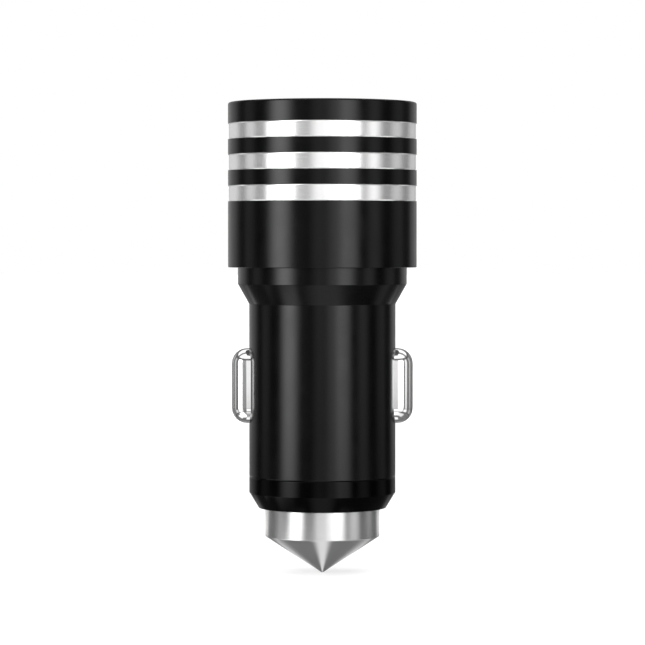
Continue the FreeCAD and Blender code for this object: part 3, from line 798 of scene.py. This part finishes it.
def solder_mask(name, board, trace):
    """Solder mask over copper traces and a woven laminate."""
    tree, shader = new_material(name, Metallic=0.0, IOR=1.5)
    coordinates = add(tree, "ShaderNodeTexCoord").outputs["Object"]
    traces = add(
        tree,
        "ShaderNodeTexVoronoi",
        {"Vector": coordinates, "Scale": 420.0, "Randomness": 0.6},
        feature="DISTANCE_TO_EDGE",
    )
    edge = eased(tree, traces.outputs["Distance"], 0.05, 0.12)
    grain = use_group(tree, grain_group(), Scale=6000.0, Low=0.25, High=0.35)
    tree.links.new(grain.outputs["Value"], shader.inputs["Roughness"])
    shown = add(
        tree,
        "ShaderNodeMix",
        {"Factor": edge, "A": tuple(trace) + (1.0,), "B": tuple(board) + (1.0,)},
        data_type="RGBA",
    )
    tree.links.new(shown.outputs["Result"], shader.inputs["Base Color"])
    link_bump(tree, shader, edge, depth=0.00002)


def make_outer_finishes(colours):
    """The finishes of the pieces that show from outside."""
    anodised("black_anodised", colours.body)
    turned_metal(
        "bright_band",
        colours.band,
        rough=(0.215, 0.245),
        spacing=0.00012,
        depth=0.00000008,
        anisotropic=0.35,
        metallic=0.8,
        shade=0.96,
    )
    turned_metal(
        "tip_steel",
        colours.tip,
        rough=(0.20, 0.26),
        spacing=0.00014,
        depth=0.000001,
        anisotropic=0.55,
        metallic=0.85,
    )
    plated("contact_nickel", colours.contact, rough=(0.05, 0.08), edge=0.07, metallic=0.89)
    moulded("collar_plastic", colours.collar, (0.12, 0.17), scale=5000.0, depth=0.0000004, specular=0.085)
    moulded("face_plastic", colours.face, (0.34, 0.46), scale=4200.0, depth=0.000012, specular=0.32)
    plated("port_steel", colours.port, rough=(0.22, 0.3), edge=0.7, depth=0.0000001)
    moulded("tongue_plastic", colours.tongue, rough=(0.4, 0.5))
    plated("contact_gold", colours.strip, rough=(0.14, 0.22), edge=0.9)
    clear_moulding("pipe_clear", colours.pipe, rough=(0.1, 0.13), transmission=0.85)
    clear_moulding("lamp_lens", colours.lamp, rough=(0.2, 0.3), transmission=0.3)


def make_inner_finishes(colours):
    """The finishes of the pieces inside."""
    turned = {"spacing": 0.0001, "depth": 0.000002}
    solder_mask("board_laminate", colours.board, colours.trace)
    moulded("carrier_plastic", colours.carrier, rough=(0.4, 0.5))
    plated("spring_steel", colours.spring, rough=(0.25, 0.35), edge=0.8)
    turned_metal("fastener_steel", colours.fastener, rough=(0.28, 0.36), anisotropic=0.3, **turned)
    plated("tab_brass", colours.tab, rough=(0.2, 0.3), edge=0.9)
    moulded("ferrite", colours.core, rough=(0.45, 0.6))
    plated("copper_wire", colours.wire, rough=(0.25, 0.35), edge=0.9)
    turned_metal("can_sleeve", colours.can, rough=(0.25, 0.33), anisotropic=0.2, **turned)
    moulded("chip_black", colours.chip, rough=(0.4, 0.5))
    moulded("chip_small", colours.small_chip, rough=(0.35, 0.5))


def finish(slot):
    """The finish of a slot, made with all others when one is first asked for."""
    if PREFIX + slot not in bpy.data.materials:
        make_outer_finishes(settings().colours)
        make_inner_finishes(settings().colours)
    return bpy.data.materials[PREFIX + slot]


# Pieces

def head_section(low, high, radius, neck_radius):
    """The head sleeve's half section: up its outside with the bands, and down its bores."""
    head = settings().head
    gap = settings().surface.gap
    floor = radius - head.band_depth
    corners = [(neck_radius + gap, low), (radius, low, head.foot_round)]
    for index in reversed(range(head.band_count)):
        top = high - head.band_drop - index * head.band_pitch
        bottom = top - head.band_width
        corners.append((radius, bottom, head.band_round))
        corners.append((floor, bottom + head.band_depth, head.band_round))
        corners.append((floor, top - head.band_depth, head.band_round))
        corners.append((radius, top, head.band_round))
    corners.append((radius, high, head.edge_round))
    corners.append((radius - head.rim_wall, high, head.edge_round))
    corners.append((radius - head.rim_wall, high - head.rim_depth))
    corners.append((radius - head.wall, high - head.rim_depth))
    corners.append((radius - head.wall, low + head.socket_depth))
    corners.append((neck_radius + gap, low + head.socket_depth))
    return closed(rounded(corners))


def build_head():
    """The black sleeve with its bright bands."""
    head = settings().head
    low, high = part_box("head_sleeve")
    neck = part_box("barrel_body")[1][0]
    piece = sweep("head_shell", head_section(low[2], high[2], high[0], neck), finish("black_anodised"))
    add_nodes(piece, band_group(), {
        "First Top": high[2] - head.band_drop,
        "Pitch": head.band_pitch,
        "Width": head.band_width,
        "Count": head.band_count,
        "Inner Radius": high[0] - 2 * head.band_depth,
        "Finish": finish("bright_band"),
    })
    bake(piece)
    dress(piece, HOUSING, "black_anodised", "head_sleeve")


def pill_core():
    """Half the straight length of a side contact."""
    contact = settings().contact
    return contact.height / 2 - contact.half_width


def contact_frame(side):
    """The turn and place that lay a swept pill along X on one side of the plug."""
    return (0.0, side * math.pi / 2, 0.0), (0.0, 0.0, -settings().contact.drop)


def slot_cutter(side, bore):
    """The bar that cuts the slot of one side contact through the barrel."""
    contact = settings().contact
    reach = contact.half_width + settings().barrel.slot_gap
    inner = math.sqrt(bore ** 2 - (contact.half_width + contact.flange_lip) ** 2)
    outer = bore + settings().barrel.wall + settings().surface.cut_past
    turn, place = contact_frame(side)
    core = pill_core()
    section = [(0.0, core, inner), (reach, core, inner), (reach, core, outer), (0.0, core, outer)]
    return sweep("slot_cutter", section, finish("black_anodised"), turn=turn, place=place)


def build_barrel():
    """The tube with the neck, the taper and a slot on each side."""
    barrel = settings().barrel
    low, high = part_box("barrel_body")
    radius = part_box("nose_collar")[1][0]
    bore = radius - barrel.wall
    neck_bore = high[0] - barrel.neck_wall
    seat = barrel.taper_length + barrel.seat_rise
    section = rounded([
        (bore, low[2]),
        (radius, low[2], barrel.edge_round),
        (radius, 0.0, barrel.taper_round),
        (high[0], barrel.taper_length, barrel.taper_round),
        (high[0], high[2]),
        (neck_bore, high[2]),
        (neck_bore, seat),
        (bore, seat),
    ])
    piece = sweep("barrel_shell", closed(section), finish("black_anodised"))
    cut(piece, [slot_cutter(1, bore), slot_cutter(-1, bore)])
    dress(piece, HOUSING, "black_anodised", "barrel_body")


def build_collar():
    """The glossy insulating collar."""
    collar = settings().collar
    tip = settings().tip
    gap = settings().surface.gap
    low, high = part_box("nose_collar")
    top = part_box("barrel_body")[0][2]
    spigot = high[0] - settings().barrel.wall - gap
    floor_low = low[2] + tip.spigot_length
    section = rounded([
        (tip.spigot_radius + gap, low[2]),
        (high[0] - collar.foot_inset, low[2], collar.corner_round),
        (high[0], top - collar.cylinder, collar.corner_round),
        (high[0], top, collar.edge_round),
        (spigot, top),
        (spigot, high[2]),
        (spigot - collar.wall, high[2]),
        (spigot - collar.wall, floor_low + collar.floor),
        (tip.stud_radius + collar.stud_gap, floor_low + collar.floor),
        (tip.stud_radius + collar.stud_gap, floor_low),
        (tip.spigot_radius + gap, floor_low),
    ])
    piece = sweep("collar_shell", closed(section), finish("collar_plastic"))
    bake(piece)
    dress(piece, HOUSING, "collar_plastic", "nose_collar")


def build_tip():
    """The turned steel tip with its cone, spigot and stud."""
    tip = settings().tip
    low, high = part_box("hammer_tip")
    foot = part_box("nose_collar")[0][2]
    section = rounded([
        (0.0, low[2]),
        (tip.point_radius, low[2]),
        (high[0], foot - tip.cylinder, tip.edge_round),
        (high[0], foot),
        (tip.spigot_radius, foot),
        (tip.spigot_radius, foot + tip.spigot_length),
        (tip.stud_radius, foot + tip.spigot_length),
        (tip.stud_radius, high[2]),
        (0.0, high[2]),
    ])
    piece = sweep("steel_tip", section, finish("tip_steel"))
    bake(piece)
    dress(piece, HOUSING, "tip_steel", "hammer_tip")


def shoe_section(reach, bore):
    """A side contact's half section: flange, sides, rounded crown and spring pocket."""
    contact = settings().contact
    core = pill_core()
    flange = contact.half_width + contact.flange_lip
    front = math.sqrt(bore ** 2 - flange ** 2) - settings().surface.slip_gap
    back = front - contact.flange_thickness
    pocket_core = contact.height / 2 - contact.pocket_end_wall - contact.pocket_half_width
    floor = reach - contact.crown_thickness
    outside = rounded([
        (contact.pocket_half_width, back),
        (flange, back),
        (flange, front),
        (contact.half_width, front),
        (contact.half_width, reach, contact.crown_round),
        (0.0, reach),
    ], core)
    inside = [
        (0.0, pocket_core, floor),
        (contact.pocket_half_width, pocket_core, floor),
        (contact.pocket_half_width, pocket_core, back),
    ]
    return closed([(contact.pocket_half_width, pocket_core, back)] + outside[1:] + inside)[:-1]


def build_contacts():
    """The two drawn side contacts."""
    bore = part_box("nose_collar")[1][0] - settings().barrel.wall
    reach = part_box("right_contact")[1][0]
    section = shoe_section(reach, bore)
    for side, body, node in ((1, RIGHT, "right_contact"), (-1, LEFT, "left_contact")):
        turn, place = contact_frame(side)
        shoe = node.replace("contact", "shoe")
        piece = sweep(shoe, section, finish("contact_nickel"), turn=turn, place=place)
        bake(piece)
        dress(piece, body, "contact_nickel", node)


def leaf_line(base, rise, reach):
    """The middle line of a leaf as (x, z) points: two flat feet and a smooth bow between them."""
    foot = settings().contact.leaf_foot
    steps = settings().surface.bow_steps
    points = [(base, -reach - foot)]
    for step in range(steps + 1):
        share = step / steps
        points.append((base + rise * math.sin(math.pi * share) ** 2, reach * (2 * share - 1)))
    points.append((base, reach + foot))
    return points


def leaf_points(line, side, low, high):
    """The four corners of a leaf's strip at each point of its middle line."""
    half = settings().contact.leaf_thickness / 2
    last = len(line) - 1
    points = []
    for index, (x, z) in enumerate(line):
        near, far = line[max(index - 1, 0)], line[min(index + 1, last)]
        run = math.hypot(far[0] - near[0], far[1] - near[1])
        off_x, off_z = half * (far[1] - near[1]) / run, -half * (far[0] - near[0]) / run
        for sign in (1, -1):
            for y in (low[1], high[1]):
                points.append((side * (x + sign * off_x), y, z + sign * off_z + (low[2] + high[2]) / 2))
    return points


def strip_faces(rows, flipped):
    """The faces of a strip with four corners a row, closed at both ends."""
    faces = []
    last = 4 * (rows - 1)
    for start in range(0, last, 4):
        for first, second in ((0, 1), (1, 3), (3, 2), (2, 0)):
            faces.append((start + first, start + second, start + 4 + second, start + 4 + first))
    faces.append((0, 2, 3, 1))
    faces.append((last, last + 1, last + 3, last + 2))
    if flipped:
        return [tuple(reversed(face)) for face in faces]
    return faces


def build_leaf(side, node):
    """One bowed leaf behind its contact."""
    contact = settings().contact
    low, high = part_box(node)
    seat, crown = (low[0], high[0]) if side > 0 else (-high[0], -low[0])
    height = crown - seat
    reach = (high[2] - low[2]) / 2 - contact.leaf_foot
    line = leaf_line(seat + contact.leaf_thickness / 2, height - contact.leaf_thickness, reach)
    faces = strip_faces(len(line), side < 0)
    piece = new_piece(node.replace("_spring", ""), leaf_points(line, side, low, high), faces)
    piece.data.materials.append(finish("spring_steel"))
    dress(piece, HOUSING, "spring_steel", node)
    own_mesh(piece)


def build_leaves():
    """The bowed leaves behind the contacts."""
    build_leaf(1, "right_leaf_spring")
    build_leaf(-1, "left_leaf_spring")


def face_seat():
    """The height of the seat in the head's rim that the port face rests on."""
    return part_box("head_sleeve")[1][2] - settings().head.rim_depth


def mouth_cutter(side, bottom, top):
    """The bar that cuts one port's mouth, flared at the top."""
    face = settings().face
    low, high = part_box("rear_port_shell")
    corner = face.mouth_corner
    half_x = (high[0] - low[0]) / 2 + face.mouth_gap - corner
    half_y = (high[1] - low[1]) / 2 + face.mouth_gap - corner
    section = [
        (0.0, half_x, bottom),
        (corner, half_x, bottom),
        (corner, half_x, top - face.mouth_bevel),
        (corner + 2 * face.mouth_bevel, half_x, top + face.mouth_bevel),
        (0.0, half_x, top + face.mouth_bevel),
    ]
    place = (0.0, side * (low[1] + high[1]) / 2, 0.0)
    return sweep("mouth_cutter", section, finish("face_plastic"), small=True, half_side=half_y, place=place)


def build_face():
    """The moulded port face with its two mouths and its lamp hole."""
    face = settings().face
    low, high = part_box("port_face")
    seat = face_seat()
    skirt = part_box("head_sleeve")[1][0] - settings().head.wall - settings().surface.gap
    section = rounded([
        (0.0, seat),
        (skirt - face.skirt_wall, seat),
        (skirt - face.skirt_wall, low[2]),
        (skirt, low[2]),
        (skirt, seat),
        (high[0], seat),
        (high[0], high[2], face.edge_round),
        (0.0, high[2]),
    ])
    piece = sweep("port_cap", section, finish("face_plastic"))
    pipe_low, pipe_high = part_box("light_pipe")
    pipe_x = (pipe_low[0] + pipe_high[0]) / 2
    reach = face.pipe_radius + settings().surface.gap
    bottom = low[2] - reach
    top = high[2] + reach
    hole_section = [(0.0, 0.0, low[2]), (reach, 0.0, low[2]), (reach, 0.0, top), (0.0, 0.0, top)]
    hole = sweep("pipe_cutter", hole_section, finish("face_plastic"), small=True, place=(pipe_x, 0.0, 0.0))
    cut(piece, [mouth_cutter(1, bottom, high[2]), mouth_cutter(-1, bottom, high[2]), hole])
    dress(piece, HOUSING, "face_plastic", "port_face")


def build_pipe():
    """The light pipe in the face, over the lamp."""
    face = settings().face
    low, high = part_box("light_pipe")
    seat = face_seat()
    flange = (high[0] - low[0]) / 2
    section = rounded([
        (0.0, low[2]),
        (face.pipe_radius, low[2]),
        (face.pipe_radius, seat - face.pipe_flange_height),
        (flange, seat - face.pipe_flange_height),
        (flange, seat),
        (face.pipe_radius, seat),
        (face.pipe_radius, high[2], face.pipe_round),
        (0.0, high[2]),
    ])
    place = ((low[0] + high[0]) / 2, 0.0, 0.0)
    pipe = sweep("lamp_pipe", section, finish("pipe_clear"), small=True, place=place)
    bake(pipe)
    dress(pipe, HOUSING, "pipe_clear", "light_pipe")


def build_lamp():
    """The domed lamp below the light pipe."""
    face = settings().face
    low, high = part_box("indicator_lamp")
    section = rounded([
        (0.0, low[2]),
        ((high[0] - low[0]) / 2, low[2]),
        ((high[0] - low[0]) / 2, low[2] + face.lamp_flange_height),
        (face.lamp_radius, low[2] + face.lamp_flange_height),
        (face.lamp_radius, high[2], face.lamp_radius),
        (0.0, high[2]),
    ])
    place = ((low[0] + high[0]) / 2, 0.0, 0.0)
    lamp = sweep("lamp_dome", section, finish("lamp_lens"), small=True, place=place)
    bake(lamp)
    dress(lamp, HOUSING, "lamp_lens", "indicator_lamp")


def finish_frame_nodes():
    """Gives every solid that still shows the finish of its slot."""
    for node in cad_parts.values():
        if node.hide_render:
            continue
        for material_slot in node.material_slots:
            material_slot.material = finish(material_slot.material.name.split(".")[0])


# Studio

# Each card is its centre, its half width and the width of its soft edge, in degrees of azimuth from
# the camera's side towards +X, and its strength. Each level is the light where no card shines.
CARDS = (
    (-52.5, 2.0, 19.0, 8.2),
    (-26.0, 2.0, 9.0, 0.25),
    (-9.0, 3.0, 8.0, 0.3),
    (32.5, 3.0, 14.0, 5.0),
    (19.0, 2.0, 14.0, 1.9),
    (3.0, 6.0, 15.0, 0.85),
    (66.0, 2.0, 13.0, 1.15),
    (-99.0, 3.0, 11.0, 0.5),
    (104.0, 4.0, 12.0, 0.42),
    (-146.0, 12.0, 18.0, 0.55),
    (150.0, 10.0, 12.0, 0.42),
    (180.0, 3.0, 10.0, 1.6),
)
DARK_LEVEL = 0.05

# The cone and the contacts' undersides mirror these, on the floor right round the tip
NEAR_CARDS = ((0.0, 6.0, 18.0, 1.11),)
NEAR_LEVEL = 0.14
BACK_CARDS = ((180.0, 40.0, 60.0, 0.85),)
CAP_CARDS = (
    (-64.0, 30.0, 12.0, 1.1),
    (64.0, 30.0, 12.0, 1.1),
)

# The chamfer and the contacts' lower ends mirror these, a little further out
LOW_CARDS = (
    (-57.0, 8.0, 14.0, 2.3),
    (4.0, 6.0, 40.0, 1.3),
    (180.0, 20.0, 20.0, 0.6),
)
LOW_LEVEL = 0.1
RING_CARDS = (
    (-75.0, 18.0, 8.0, 1.2),
    (45.0, 18.0, 15.0, 0.9),
    (-152.0, 14.0, 20.0, 0.4),
    (152.0, 14.0, 20.0, 0.35),
)
DARK_RING = 0.05

# The tip's cylinder mirrors these
TIP_CARDS = (
    (-153.0, 14.0, 12.0, 1.2),
    (-85.0, 3.0, 10.0, 0.65),
    (-54.0, 5.0, 18.0, 1.5),
    (0.0, 8.0, 14.0, 1.5),
    (28.0, 8.0, 16.0, 1.7),
    (63.0, 6.0, 12.0, 1.1),
    (104.0, 3.0, 10.0, 0.35),
    (153.0, 12.0, 12.0, 1.0),
)
TIP_LEVEL = 0.13
FAR_SHARE = 0.55

# The roof's light, and the dark stripe that runs across it above the plug
ROOF_LEVEL = 1.6
ROOF_GAP_LEVEL = 0.04
STRIPE_EDGES = (0.06, 0.22)
STRIPE_SHARE = 0.1


def card_group():
    """One soft-edged card of light, seen by its azimuth."""
    known = bpy.data.node_groups.get("studio_card")
    if known:
        return known
    tree, given = new_group(
        "studio_card",
        "ShaderNodeTree",
        [
            ("Azimuth", "NodeSocketFloat", 0.0),
            ("Centre", "NodeSocketFloat", 0.0),
            ("Inner", "NodeSocketFloat", 0.1),
            ("Outer", "NodeSocketFloat", 0.2),
            ("Strength", "NodeSocketFloat", 1.0),
        ],
        [("Light", "NodeSocketFloat")],
    )
    away = maths(tree, "SUBTRACT", given.outputs["Azimuth"], given.outputs["Centre"])
    wrapped = maths(tree, "ABSOLUTE", maths(tree, "WRAP", away, math.pi, -math.pi))
    window = eased(tree, wrapped, given.outputs["Outer"], given.outputs["Inner"])
    group_output(tree, {"Light": maths(tree, "MULTIPLY", window, given.outputs["Strength"])})
    return tree


def card_light(tree, azimuth, cards, level=0.0):
    """The light of all cards at an azimuth, over the level between them."""
    total = level
    for centre, half, soft, strength in cards:
        card = use_group(
            tree,
            card_group(),
            Centre=math.radians(centre),
            Inner=math.radians(half),
            Outer=math.radians(half + soft),
            Strength=strength,
        )
        tree.links.new(azimuth, card.inputs["Azimuth"])
        total = maths(tree, "ADD", card.outputs["Light"], total)
    return total


def direction(tree, vector):
    """The azimuth of a vector, from the camera's side towards +X, with its parts."""
    parts = add(tree, "ShaderNodeSeparateXYZ", {"Vector": vector})
    towards = maths(tree, "MULTIPLY", parts.outputs["Y"], -1.0)
    return maths(tree, "ARCTAN2", parts.outputs["X"], towards), parts


def roof_light(tree, elevation, parts):
    """The light of the roof, from an elevation up, with its dark stripe."""
    light = eased(tree, elevation, *settings().stage.roof_start, ROOF_GAP_LEVEL, ROOF_LEVEL)
    depth = maths(tree, "ABSOLUTE", parts.outputs["Y"])
    stripe = eased(tree, depth, *STRIPE_EDGES, STRIPE_SHARE, 1.0)
    return maths(tree, "MULTIPLY", light, stripe)


def make_world():
    """White to the camera, and soft cards round a dark studio to everything else."""
    world = bpy.data.worlds.new("studio")
    bpy.context.scene.world = world
    world.use_nodes = True
    tree = world.node_tree
    tree.nodes.clear()
    seen = add(tree, "ShaderNodeTexCoord").outputs["Generated"]
    azimuth, parts = direction(tree, seen)
    elevation = maths(tree, "ARCSINE", parts.outputs["Z"])
    cards = card_light(tree, azimuth, CARDS, DARK_LEVEL)
    kept = eased(tree, elevation, *settings().stage.cards_end, 1.0, 0.0)
    light = maths(tree, "MULTIPLY_ADD", cards, kept, roof_light(tree, elevation, parts))
    studio = add(tree, "ShaderNodeBackground", {"Color": grey(1.0), "Strength": light})
    white = add(tree, "ShaderNodeBackground", {"Color": grey(1.0), "Strength": 1.0})
    rays = add(tree, "ShaderNodeLightPath")
    mixed = add(tree, "ShaderNodeMixShader", {
        "Fac": rays.outputs["Is Camera Ray"],
        1: studio.outputs[0],
        2: white.outputs[0],
    })
    add(tree, "ShaderNodeOutputWorld", {"Surface": mixed.outputs[0]})


def ring_window(tree, across, start, end):
    """One inside a soft-edged ring of the floor, and nothing outside it."""
    return maths(tree, "MULTIPLY", eased(tree, across, *start), eased(tree, across, end[1], end[0]))


def near_light(tree, azimuth, across):
    """What the floor mirrors right round the tip."""
    stage = settings().stage
    light = card_light(tree, azimuth, NEAR_CARDS, NEAR_LEVEL)
    back = card_light(tree, azimuth, BACK_CARDS)
    back_kept = eased(tree, across, *stage.back_end, 1.0, 0.0)
    light = maths(tree, "MULTIPLY_ADD", back, back_kept, light)
    caps = card_light(tree, azimuth, CAP_CARDS)
    caps_kept = ring_window(tree, across, stage.cap_start, stage.cap_end)
    return maths(tree, "MULTIPLY_ADD", caps, caps_kept, light)


def floor_light(tree):
    """What glossy pieces see in the floor: rings of cards round the tip, and the studio's further out."""
    stage = settings().stage
    azimuth, parts = direction(tree, add(tree, "ShaderNodeTexCoord").outputs["Object"])
    across = from_axis(tree, parts)
    low = card_light(tree, azimuth, LOW_CARDS, LOW_LEVEL)
    light = blended(tree, eased(tree, across, *stage.low_start), near_light(tree, azimuth, across), low)
    ring = card_light(tree, azimuth, RING_CARDS)
    ring_kept = ring_window(tree, across, stage.ring_start, stage.ring_end)
    light = maths(tree, "MULTIPLY_ADD", ring, ring_kept, light)
    light = maths(tree, "MULTIPLY", light, eased(tree, across, *stage.low_end, 1.0, DARK_RING))
    tip = card_light(tree, azimuth, TIP_CARDS, TIP_LEVEL)
    light = blended(tree, eased(tree, across, *stage.tip_start), light, tip)
    gain = eased(tree, across, *stage.far_gain, FAR_SHARE, 1.0)
    far = maths(tree, "MULTIPLY", card_light(tree, azimuth, CARDS, DARK_LEVEL), gain)
    return blended(tree, eased(tree, across, *stage.far_start), light, far)


def floor_material():
    """A pale floor that keeps the plug's shadow, and shows its own light to what is glossy."""
    stage = settings().stage
    material = bpy.data.materials.new("studio_floor")
    material.use_nodes = True
    tree = material.node_tree
    tree.nodes.clear()
    gloss = add(tree, "ShaderNodeEmission", {"Color": grey(1.0), "Strength": floor_light(tree)})
    lit = add(tree, "ShaderNodeBsdfDiffuse", {"Color": grey(stage.floor_shade)})
    glow = add(tree, "ShaderNodeEmission", {"Color": grey(1.0), "Strength": stage.floor_glow})
    pale = add(tree, "ShaderNodeAddShader", {0: lit.outputs[0], 1: glow.outputs[0]})
    rays = add(tree, "ShaderNodeLightPath")
    mixed = add(tree, "ShaderNodeMixShader", {
        "Fac": rays.outputs["Is Glossy Ray"],
        1: pale.outputs[0],
        2: gloss.outputs[0],
    })
    add(tree, "ShaderNodeOutputMaterial", {"Surface": mixed.outputs[0]})
    return material


def make_floor():
    """The floor under the tip."""
    half = settings().stage.floor_half
    level = cad_bounds[0][2]
    corners = [(-half, -half, level), (half, -half, level), (half, half, level), (-half, half, level)]
    floor = new_piece("studio_floor", corners, [(0, 1, 2, 3)])
    floor.data.materials.append(floor_material())


def make_camera():
    """The camera at the photograph's place."""
    stage = settings().stage
    data = bpy.data.cameras.new("camera")
    data.lens = stage.camera_lens
    data.clip_start = 0.01
    data.clip_end = 20.0
    camera = bpy.data.objects.new("camera", data)
    camera.location = stage.camera_place
    camera.rotation_euler = (math.pi / 2 - stage.camera_tilt, 0.0, 0.0)
    bpy.context.scene.collection.objects.link(camera)
    bpy.context.scene.camera = camera


# Operators

class PLUG_OT_head(bpy.types.Operator):
    """Build the black sleeve with its bright bands"""

    bl_idname = "plug.head"
    bl_label = "Head"
    bl_options = {"REGISTER", "UNDO"}

    def execute(self, context):
        """Builds the head."""
        build_head()
        return {"FINISHED"}


class PLUG_OT_barrel(bpy.types.Operator):
    """Build the barrel with its neck, taper and contact slots"""

    bl_idname = "plug.barrel"
    bl_label = "Barrel"
    bl_options = {"REGISTER", "UNDO"}

    def execute(self, context):
        """Builds the barrel."""
        build_barrel()
        return {"FINISHED"}


class PLUG_OT_collar(bpy.types.Operator):
    """Build the glossy insulating collar"""

    bl_idname = "plug.collar"
    bl_label = "Collar"
    bl_options = {"REGISTER", "UNDO"}

    def execute(self, context):
        """Builds the collar."""
        build_collar()
        return {"FINISHED"}


class PLUG_OT_tip(bpy.types.Operator):
    """Build the turned steel tip"""

    bl_idname = "plug.tip"
    bl_label = "Tip"
    bl_options = {"REGISTER", "UNDO"}

    def execute(self, context):
        """Builds the tip."""
        build_tip()
        return {"FINISHED"}


class PLUG_OT_contacts(bpy.types.Operator):
    """Build the side contacts and the leaves behind them"""

    bl_idname = "plug.contacts"
    bl_label = "Contacts"
    bl_options = {"REGISTER", "UNDO"}

    def execute(self, context):
        """Builds the contacts and their leaves."""
        build_contacts()
        build_leaves()
        return {"FINISHED"}


class PLUG_OT_face(bpy.types.Operator):
    """Build the port face, its light pipe and its lamp"""

    bl_idname = "plug.face"
    bl_label = "Port Face"
    bl_options = {"REGISTER", "UNDO"}

    def execute(self, context):
        """Builds the port face with its light pipe and lamp."""
        build_face()
        build_pipe()
        build_lamp()
        return {"FINISHED"}


class PLUG_OT_inside(bpy.types.Operator):
    """Give the inner pieces their finishes"""

    bl_idname = "plug.inside"
    bl_label = "Inner Pieces"
    bl_options = {"REGISTER", "UNDO"}

    def execute(self, context):
        """Finishes the inner pieces."""
        finish_frame_nodes()
        return {"FINISHED"}


class PLUG_OT_stage(bpy.types.Operator):
    """Build the floor, the studio light and the camera"""

    bl_idname = "plug.stage"
    bl_label = "Stage"
    bl_options = {"REGISTER", "UNDO"}

    def execute(self, context):
        """Builds the stage."""
        make_world()
        make_floor()
        make_camera()
        context.scene.view_settings.view_transform = "Standard"
        return {"FINISHED"}


class PLUG_PT_panel(bpy.types.Panel):
    """The plug's panel in the 3D view"""

    bl_idname = "PLUG_PT_panel"
    bl_label = "Socket Charger Plug"
    bl_space_type = "VIEW_3D"
    bl_region_type = "UI"
    bl_category = "Plug"

    def draw(self, context):
        """Draws the settings and the build buttons."""
        layout = self.layout
        plug = context.scene.plug_settings
        for group in PlugSettings.__annotations__:
            box = layout.box()
            box.label(text=group.capitalize())
            part = getattr(plug, group)
            for name in part.__annotations__:
                box.prop(part, name)
        for operator in OPERATORS:
            layout.operator(operator.bl_idname)


SETTINGS = (
    SurfaceSettings,
    HeadSettings,
    BarrelSettings,
    ContactSettings,
    CollarSettings,
    TipSettings,
    FaceSettings,
    ColourSettings,
    StageSettings,
    PlugSettings,
)
OPERATORS = (
    PLUG_OT_head,
    PLUG_OT_barrel,
    PLUG_OT_collar,
    PLUG_OT_tip,
    PLUG_OT_contacts,
    PLUG_OT_face,
    PLUG_OT_inside,
    PLUG_OT_stage,
)


def register():
    """Registers the settings, the operators and the panel."""
    for item in SETTINGS + OPERATORS + (PLUG_PT_panel,):
        bpy.utils.register_class(item)
    bpy.types.Scene.plug_settings = PointerProperty(type=PlugSettings)


def unregister():
    """Removes what register() added."""
    del bpy.types.Scene.plug_settings
    for item in reversed(SETTINGS + OPERATORS + (PLUG_PT_panel,)):
        bpy.utils.unregister_class(item)


def main():
    """Builds the whole scene."""
    register()
    bpy.ops.plug.head()
    bpy.ops.plug.barrel()
    bpy.ops.plug.collar()
    bpy.ops.plug.tip()
    bpy.ops.plug.contacts()
    bpy.ops.plug.face()
    bpy.ops.plug.inside()
    bpy.ops.plug.stage()


if __name__ == "__main__":
    main()
